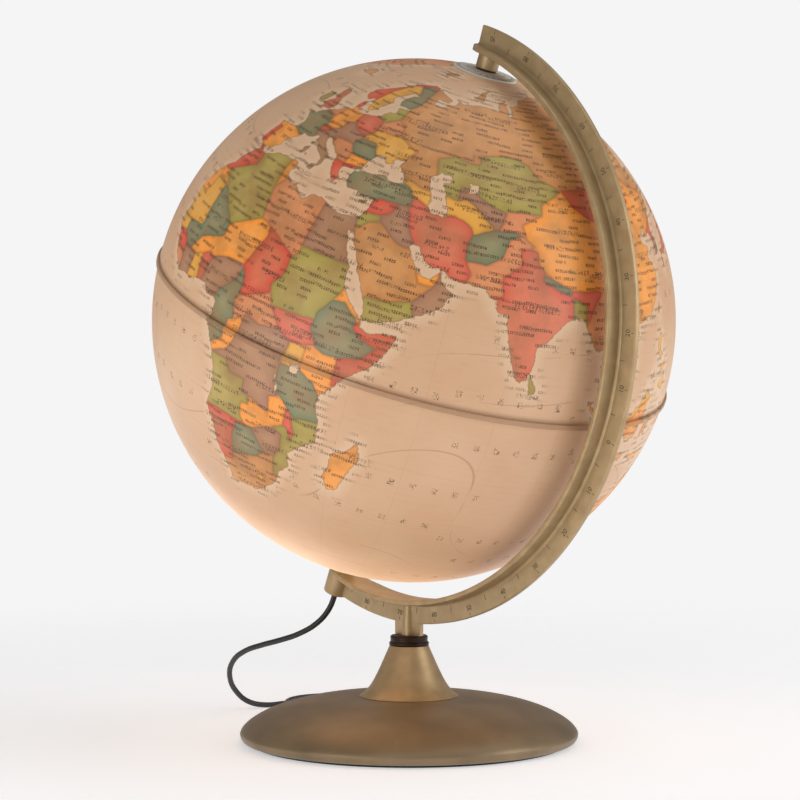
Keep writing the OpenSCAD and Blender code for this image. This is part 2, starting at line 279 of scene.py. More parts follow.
def dressed(name, mesh, material, body, slot, nodes=(), sharp=35, merge=True):
    """Cleans a mesh, smooths it, gives it its material and hands it to its body."""
    if merge:
        work = bmesh.new()
        work.from_mesh(mesh)
        bmesh.ops.remove_doubles(work, verts=work.verts, dist=1e-6)
        bmesh.ops.recalc_face_normals(work, faces=work.faces)
        work.to_mesh(mesh)
        work.free()
    mesh.shade_smooth()
    mesh.set_sharp_from_angle(angle=np.radians(sharp))
    mesh.materials.append(material)
    made = bpy.data.objects.new(name, mesh)
    bpy.context.scene.collection.objects.link(made)
    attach(made, body)
    if nodes:
        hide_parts(*nodes)
    return made


# ---- Cord, coil and plug ------------------------------------------------------------------------

COIL_R = 30.6
COIL_TURNS = 6
COIL_AT = np.array([-127.0, 50, 0])
COIL_START = np.radians(138)
COIL_CORE = COIL_R - (COIL_TURNS - 1) * 2 * CORD_R  # radius of its innermost turn
TIE_T = 0.8
CORD_D = 2 * CORD_R
PLUG_TURN = np.radians(228)
PLUG_AT = np.array([-48.5, 124.5, 7])
PLUG_FRAME = (PLUG_AT, np.array([0, 0, -1.0]), np.array([-np.sin(PLUG_TURN), np.cos(PLUG_TURN), 0]),
              np.array([np.cos(PLUG_TURN), np.sin(PLUG_TURN), 0]))
PIN_APART = 9.3  # from the plug's middle to a pin's axis
cord_exit = CENTRE - SOUTH_END * POLE

# The free stretch, from the south boss down and along the table to the coil.
cord_route = np.array([
    cord_exit, [-71, -1, 72], [-80, -3, 63], [-92, -7, 56], [-107, -10, 51], [-122, -12, 47],
    [-138, -13, 42], [-153, -11, 34], [-164, -5, 23], [-170, 5, 12], [-171, 16, 4.5],
    [-169, 28, 1.7], [-167, 42, 1.7], [-161, 57, 1.9]])
# The tail, from the top of the coil to the plug.
tail_route = np.array([
    [-139, 82, 4.8], [-126, 94, 2.6], [-112, 109, 1.7], [-96, 126, 1.7], [-80, 142, 1.7],
    [-66, 151, 1.7], [-51, 153, 1.7], [-41, 146, 2.6], [-41, 135, 5], PLUG_AT])


def coil_route(steps=18):
    """Turns inwards on the lower layer, one turn that climbs, and turns outwards on the upper one:
    radius falls and rises by a cord's diameter each turn, clockwise as seen from above."""
    turns = np.arange(steps * (2 * COIL_TURNS - 1) + 1) / steps
    radius = np.maximum(COIL_CORE, np.maximum(COIL_R - CORD_D * turns,
                                              COIL_CORE + CORD_D * (turns - COIL_TURNS)))
    height = TIE_T + CORD_R + CORD_D * np.clip(turns - COIL_TURNS + 1, 0, 1)
    a = COIL_START - 2 * np.pi * turns
    return COIL_AT + np.stack([radius * np.cos(a), radius * np.sin(a), height], -1)


def cord_piece():
    """One bezier through the free stretch, the coil and the tail, with a round section."""
    line = np.concatenate([cord_route, coil_route(), tail_route]) * MM
    shape = bpy.data.curves.new("mains_cord", "CURVE")
    shape.dimensions = "3D"
    shape.bevel_depth = CORD_R * MM
    shape.bevel_resolution = 4
    shape.resolution_u = 4
    shape.use_fill_caps = True
    spline = shape.splines.new("BEZIER")
    spline.bezier_points.add(len(line) - 1)
    spline.bezier_points.foreach_set("co", line.ravel())
    for knot in spline.bezier_points:
        knot.handle_left_type = knot.handle_right_type = "AUTO"
    shape.materials.append(pvc)
    made = bpy.data.objects.new("mains_cord", shape)
    bpy.context.scene.collection.objects.link(made)
    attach(made, "stand")
    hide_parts("cord", "cord_coil", "cord_tail")
    return made, float(np.linalg.norm(np.diff(line, axis=0), axis=1).sum())


def tie_grid(turn):
    """A flat strap round the coil's bundle: a rounded oblong loop carrying an oblong section."""
    low = COIL_CORE - CORD_R - 0.4
    high, top = COIL_R + CORD_R, TIE_T + 2 * CORD_D
    loops = []
    for out, half in ((0.1, 2.7), (0.1, -2.7), (0.5, -3), (TIE_T - 0.05, -2.6), (TIE_T, 0),
                      (TIE_T - 0.05, 2.6), (0.5, 3)):
        box = [[low - out, TIE_T - out, 1], [high + out, TIE_T - out, 1],
               [high + out, top + out, 1], [low - out, top + out, 1]]
        loop = rounded(box)
        loops.append(np.stack([loop[:, 0], 0 * loop[:, 0] + half, loop[:, 1]], -1))
    grid = np.stack(loops, 1)
    c, s = np.cos(turn), np.sin(turn)
    return COIL_AT + grid @ np.array([[c, s, 0], [-s, c, 0], [0, 0, 1]])


def plug_grid():
    """A stadium section carried along the plug: its half spacing and end radius open out from the
    ribbed strain relief to the body, and a parabola rounds the front edge."""
    neck, shoulder, edge, front = 20, 42, 52, 54  # ends of the relief, the taper and the body
    rib_pitch, rib_depth = 2.5, 0.315
    along = np.concatenate([np.linspace(0, neck, 61), np.linspace(neck + 0.5, shoulder, 24),
                            np.linspace(shoulder + 0.5, edge, 8),
                            front - (front - edge) * (1 - np.linspace(0, 1, 7)[1:]) ** 2])
    relief = np.clip(along / neck, 0, 1)
    opened = np.clip((along - neck) / (shoulder - neck), 0, 1)
    opened = opened * opened * (3 - 2 * opened)
    rounding = 1.6 * np.clip((along - edge) / (front - edge), 0, 1) ** 2
    ribbed = (np.cos(along * 2 * np.pi / rib_pitch) > 0.2) * (along < 17.6) * (along > 0.8)
    radius = 2.5 + 2.1 * relief + 2.0 * opened - rounding - rib_depth * ribbed
    spacing = 4.0 * np.clip((along - 17) / 4, 0, 1) ** 2 + 7 * opened
    a = np.linspace(0, 2 * np.pi, 48, endpoint=False)
    shift = np.where(np.cos(a) >= 0, 1.0, -1.0)
    y = radius[:, None] * np.cos(a) + spacing[:, None] * shift
    x = radius[:, None] * np.sin(a)
    return capped(place(PLUG_FRAME, x, y, along[:, None] + 0 * a))


def pin_profile(low, high, radius, tip):
    """Half outline of a round pin whose free end is rounded over the tip length."""
    return rounded([[0, low, 0], [radius, low, 0.2], [radius, high, tip], [0, high, 0]], False)


def pin_frame(side):
    """The plug's frame moved sideways to one pin."""
    origin, e1, e2, e3 = PLUG_FRAME
    return (origin + side * PIN_APART * e2, e1, e2, e3)


mains_cord, cord_length = cord_piece()
plug = piece("plug_moulding", [plug_grid()], pvc, "stand", "black_pvc", ["plug_body"], sharp=50)
sleeves = piece("plug_pin_sleeves", [turned(pin_profile(53, 64, 2.0, 0.2), pin_frame(side), 32)
                                     for side in (-1, 1)], pvc, "stand", "black_pvc")
pins = piece("plug_contacts", [turned(pin_profile(60, 73, 1.9, 1.4), pin_frame(side), 32)
                               for side in (-1, 1)], nickel, "stand", "nickel", ["plug_pins"])
ties = piece("tie_straps", [tie_grid(np.radians(a)) for a in (88, 268)], pvc, "stand", "black_pvc",
             ["coil_ties"], wrap=(True, True))


# ---- The map's outlines -------------------------------------------------------------------------

# Shores, as longitude and latitude in whole or half degrees, generalised as a small globe has them.
SHORES = """
-6,35.8 -2,35.2 3,36.9 10,37.3 11,36.8 10.2,34.3 11.2,33.2 15.2,32.3 19,30.3 20.2,32.3 23,32.6 29,31
32.3,31.3 32.6,29.8 34,27 35.5,24 37.2,21 37.3,18.5 39.5,15.5 43.2,12.5 43.3,11.6 45,10.5 51.2,11.9
50.8,9.5 48,4.5 44,1 41.5,-2 39.5,-4.5 39,-7 40.5,-10.5 40.6,-15 37,-17.8 34.8,-20 35.5,-23.5
33,-25.8 32.6,-28.5 30.5,-31 27.5,-33.5 25.6,-34 22,-34.1 20,-34.8 18.4,-34.1 18.2,-32 16.5,-28.6
15,-26 14.4,-22.5 12,-18 13.6,-12.5 13.2,-9 12.2,-6 9,-1 9.4,1 9.7,3.8 8.5,4.6 6,4.3 4.4,6.3 1.2,6
-2,4.8 -4.5,5.2 -7.6,4.4 -9.5,6 -11.5,7 -13.2,8.8 -14.5,10.8 -16.7,12.4 -17.4,14.7 -16.3,16 -16.2,19
-17,21 -16,23.8 -14.5,26.2 -13,27.8 -10,29.6 -9.7,31.5 -8,33.3 -6.3,34.5;
-5.6,36 -8.9,37 -9.4,38.7 -8.8,41.5 -9.2,43.1 -4,43.5 -1.6,43.4 -1.2,46 -2.5,47.3 -4.7,48.4 -1.6,48.7
-1.3,49.7 1.6,50.9 4,51.8 5,53.3 8.5,53.8 8.2,56.8 10.6,57.7 10,55 11,54 14,53.9 18.6,54.6 21,55.5
21.3,57.5 24.4,57.2 23.7,59.2 30,59.8 25,60.3 22.5,60.2 21.4,61 21.5,63 25.3,65 22,65.8 18,62.6
17.2,61 18.8,59.9 16.5,57.5 16,56.1 14.2,55.4 12.8,55.6 11.2,59 10.4,59.3 8,58 5.3,59 5.2,61.8 9,63.8
13,66.5 16,68.8 20,70 25.5,71 31,70.2 41,67.5 40,66.2 34,66.8 34.6,64.5 38,64 40,64.6 40.3,66 44,66.2
44,68.5 47,67.5 54,68.7 60,68.8 68,68.3 67,71.5 72,73 73,70 72,67 75,68 76,71.5 81,72 87,75 98,76.3
104,77.6 113,76 107,73.5 113,73.6 127,73 131,71 140,72.6 150,71.5 160,69.8 170,70 176,69.8 180,68.9
190,66 187,64.5 180,65 177.5,64.7 179,62.5 170,60 163,58 162.5,56 159.8,53.2 156.7,51 155.7,56
160,60.5 163.5,62.5 156,61.5 151,59 142,59 137,54 141,53 140.5,48.5 135.5,44 132,43 129.8,41.5
127.5,39.5 129.4,37 129,35.2 126.4,34.5 126.6,37.5 125,39.7 121.5,39 121.8,40.8 118,39 119,37.3
122.4,37 119.5,35 121.8,32 121.8,29.5 119,25.5 116.5,23 113.5,22.2 110.5,21.2 108,21.5 106,19.5
109,14.5 109,11.7 106.7,10.4 104.8,8.8 105,10.4 102.5,12 101,13.4 99.9,12 99.3,9.3 101.5,6.8
103.4,4.5 104.2,1.5 103.4,1.4 100.4,5.3 98.4,8 98.7,12 97.6,16.5 95.3,15.8 94.4,17.5 92.3,21 91,22.6
88.2,21.7 87,21.3 85,19.5 82.3,16.8 80.2,15.5 80.2,13 79.8,10.4 78.1,8.1 76.6,9 75,12 73.8,15.5
72.8,19 72.7,21.3 72.2,22 72.2,21 70.5,20.8 69,22.3 70.3,23 68,23.6 66.7,25.1 61.5,25.2 57.5,25.7
56.8,27.1 54,26.6 51.5,27.9 50.2,30 48.5,30 48,29 50.2,26.5 50.8,24.8 51.6,25.9 51.6,24.4 54.2,24.2
56.3,26.3 56.6,24.4 59.8,22.5 57.8,19 55.2,17.3 52,15.6 48.8,14 45,12.8 43.4,12.7 42.8,15.5 41,18.5
39.1,21.5 37.2,24.8 35,28 34.9,29.5 34.3,27.9 32.7,29.8 32.4,31.2 34.2,31.3 35.1,33.2 35.9,36.2
34,36.4 32.3,36.1 30.5,36.7 27.5,36.8 26.5,39 26.8,40.3 29,41.1 31.4,41.2 35,42 38,41 41.5,41.6
39,44.2 37.3,45.3 38.5,46.8 35.2,46.2 36,45.2 33.6,44.5 32.6,46 30.5,46.2 28.7,44 28,41.7 29,41.2
26.2,40.8 24,40.8 22.8,40.4 23,39 24,38 22.9,36.6 21.2,37.7 19.4,40.2 19.5,42 16,43.5 13.8,45.2
12.4,45.4 12.5,44.2 13.8,43 15.5,42 18.4,40.3 16.9,40.5 16.6,39.5 17.1,39 15.8,38 15.7,40 14.2,40.8
12,42 10.4,43.2 9,44.4 6.5,43.1 3.2,43.2 3.1,41.9 0.5,40.6 -0.4,39.4 0,38.7 -0.8,37.6 -2.2,36.7
-4.5,36.6;
-5.5,50.1 1.3,51.2 1.6,52.7 -0.2,54.3 -2,56 -2,57.6 -5,58.6 -5.8,56.5 -4.8,54.8 -3.2,54 -4.5,53.2
-4.5,52 -5,51.6 -3,51.3; -6.2,52.2 -9.8,51.6 -10,54 -7.5,55.3 -5.7,54.5;
-22,64 -18.5,63.4 -14,65 -16,66.4 -22.5,66.3 -24,65; 12.5,37.7 15.4,38.2 15.1,36.7;
8.4,39 8.2,41 9.6,41.2 9.6,39.2; 8.6,42.4 9.4,43 9.5,41.6; 23.6,35.4 26.2,35.2 24.8,34.9;
32.3,35 34.5,35.6 33.6,34.7;
49.3,-12 50.4,-15.5 49,-19 47,-25 45.2,-25.5 43.5,-22.5 44.4,-19.5 44.4,-16.4 47.5,-14.8;
80,9.7 81.8,7.5 81.3,6.2 80.2,6 79.8,8; 95.4,5.5 98,4.2 103.5,-0.5 106,-3.2 105.8,-5.8 104.4,-5.8
101,-2.5 98.8,1.6; 105.3,-6.6 108.5,-6.6 112.6,-7 114.5,-7.8 114.3,-8.6 109,-7.8 106.4,-7.4;
109.2,1.5 111,1.6 113.5,3.5 116.8,7 119,5.2 117.6,3 118,0.8 116,-4 111.8,-3.4 110,-1.5;
119.5,-5.5 119,-3 120,0.8 125,1.6 121,0.4 123.4,-1 121.5,-2 122.6,-5 120.8,-3;
115.5,-8.3 119,-8.4 124,-8.4 127,-8.5 124,-10 119.5,-9.6; 127.5,2 128.8,0.5 128,-3.4 130.8,-3.4
131,-0.8 134,-0.9 135,-3.3 138,-1.6 144.5,-3.9 147.8,-6 148,-8 150.8,-10.3 147,-9.6 143,-9.2
139,-8.1 138,-5.5 133,-4 132.8,-2.8 128,0; 148.5,-5.6 152.2,-4.2 151.5,-6;
142.5,-10.8 145.3,-14.9 146.3,-18.9 150.8,-23 153.2,-27 152.5,-32 150,-37.3 146.4,-39 143.5,-38.8
140.3,-37.8 138,-35.6 137.8,-33 135.5,-34.8 131.5,-31.5 126,-32.3 123.5,-33.9 118,-35 115.1,-34.3
115.7,-31.8 113.4,-26 113.8,-22.5 117,-20.6 121,-19.5 122.3,-17.2 125,-15 127,-14 129.5,-15
131,-12.2 136.7,-12 135.7,-15 139.5,-17.6 141.6,-14.5; 144.8,-41 148.3,-41 146.8,-43.6;
172.8,-34.5 175.5,-37 178.4,-37.8 176.9,-40 174.8,-41.4 175,-39.5 173.8,-39.3;
172.7,-40.6 174.2,-41.8 171,-45.9 168.3,-46.6 166.5,-45.8 170.5,-43; 164,-20.2 167,-22.3 165.5,-21.6;
120.5,18.5 122.2,18.4 121.6,15 124,13 121,13.7 120,16; 122,7 125.5,9.7 126.3,7 125.3,5.6;
122,11.5 125,12.3 125,10.3 122.5,10; 117.3,8.3 119.5,11 118.8,9.6;
131,34.2 135,35.6 137,37 140,40.8 141.4,41.3 142,39.5 140.8,36 139,34.8 135.8,33.5;
130,33.5 131.8,33.2 131,31.2; 140.5,42 141.8,45.4 145.3,43.3 143,42; 142.2,46 142.2,53.5 143.2,53
143,49; 120.2,23 121.6,25.2 121,22; 108.8,19.2 110.6,20 109.8,18.3; 52,71 57,70.7 60,75.5 68,76.8
60,76.3 55,74; 11,79 20,80.3 27,80 18,76.6; 137,75.5 145,75.8 150,75; 95,79.5 103,79 100,78;
-45,60 -50,62 -54,67 -51,70 -58,75.5 -72,78.5 -60,82 -32,83.5 -15,81.5 -20,76 -22,72.5 -26,70 -33,68
-40,65 -42,61;
-168,65.8 -164,63 -165,60.5 -158,58.5 -164,54.8 -152,59.3 -150,61 -145,60.2 -137,58.5 -130,54.5
-124,48.5 -124,43 -122,37 -117.2,32.6 -114.5,30 -110,23.2 -112.3,26.5 -114.8,31.7 -109,25.8
-105.5,20.5 -96.5,15.7 -92,14.5 -87.5,13 -85.7,10 -82.8,8.3 -80,7.3 -78,8.3 -77.4,8.5 -79.5,9.5
-83.3,10.5 -83.3,15 -88,15.8 -88.2,18.3 -86.9,21.3 -90.4,21 -91,18.8 -94.5,18.2 -97.5,22 -97.3,27.5
-94,29.6 -89,29.2 -84.5,30 -82.6,27.5 -80.4,25.3 -81.4,30.5 -76,35.2 -74.2,39.7 -70.5,41.8 -70,43.8
-66,44 -64.5,46.3 -66,49.2 -60,50.2 -56,52 -61.5,56.5 -65,60.2 -70,61.5 -78,62.4 -78.5,58.5
-76.8,56.5 -79.5,52 -82.3,53 -85,55.3 -92.5,57 -94,60 -90,63.5 -86.5,66.3 -81.5,67.5 -84,69.7 -92,70.5
-96,68 -108,68 -115,68.5 -125,70 -136,69 -156,71.3 -166,68.3;
-80,73.5 -72,71 -62,66.5 -66,62.5 -77,64.5 -72,68 -85,70 -88,73.3; -90,76.5 -78,76.5 -62,82.4 -75,83
-95,80.5; -117,70 -105,69 -105,73 -117,73; -125,72 -120,71.5 -118,74.2; -59,47.8 -53,46.7 -55.7,51.5
-58,49.5; -84.8,22 -80,23 -74.3,20.2 -77.5,19.9 -78,21; -74.3,18.4 -72.5,19.9 -68.5,18.5 -71.5,17.8;
-157,21.4 -155,20.2 -155.8,19; -87,65.8 -81,64 -84,63.2;
-77.4,8.5 -75.5,10.8 -71.7,12.2 -71.5,10.5 -68,11 -61.9,10.7 -57,6 -52,5 -50,0.5 -44.3,-2.8 -38.5,-4
-35.2,-5.5 -35,-8.5 -39,-13.5 -39.2,-18 -41,-22 -44.5,-23.2 -48.6,-26 -49,-28.8 -52,-33 -54.5,-34.8
-58,-34.4 -56.8,-36.5 -62,-38.9 -65,-41.2 -63.8,-42.5 -67.5,-46 -65.8,-47.5 -69,-51 -68.3,-53
-65.3,-54.7 -71,-55 -74.5,-51 -75.5,-46.5 -73,-43 -73.6,-38 -71.5,-33 -70.2,-22 -70.4,-18.4 -76,-14
-79.5,-8 -81.3,-5 -80,-3 -81,-1 -80,1 -77,3.8 -77.6,7; -61,-51.5 -58,-51.3 -59.5,-52.3;
-179.9,-89.9 -179.9,-78 -165,-78.2 -155,-77 -130,-74.5 -100,-73 -75,-73.5 -68,-68 -57.5,-63.3 -62,-67
-62,-74 -78,-77.5 -60,-78.8 -40,-78 -25,-75.5 -10,-71.2 20,-70 40,-69.3 55,-66.3 70,-69.8 80,-68
110,-66.3 135,-66.3 160,-69.5 170,-72 163,-77.5 179.9,-78 179.9,-89.9
"""
WATERS = """
47,45 49.5,46.5 53,46.8 53,45 51,44.5 52.5,42 54,39 53.8,37 50,37.4 48.8,38.5 49.5,40.3 47.5,43;
58.3,46 61,46.3 61,44.5 58.5,43.8; 31.8,-0.5 34,0.2 33.8,-2.2 31.8,-2.6; 104,51.5 107,52.5 109.8,55.5
108,53.5 105,51.3; 29.2,-3.5 30.8,-8.5 30.2,-8.3 29,-5; 34,-9.6 35,-13.5 34.3,-12; -92,46.8 -88,48.5
-84.5,46.7 -88,46.9; -87.8,42 -86,45.8 -83,46 -82,43.2 -84.5,45.3 -86.3,42.2; 31,61 33,61 32,60
"""
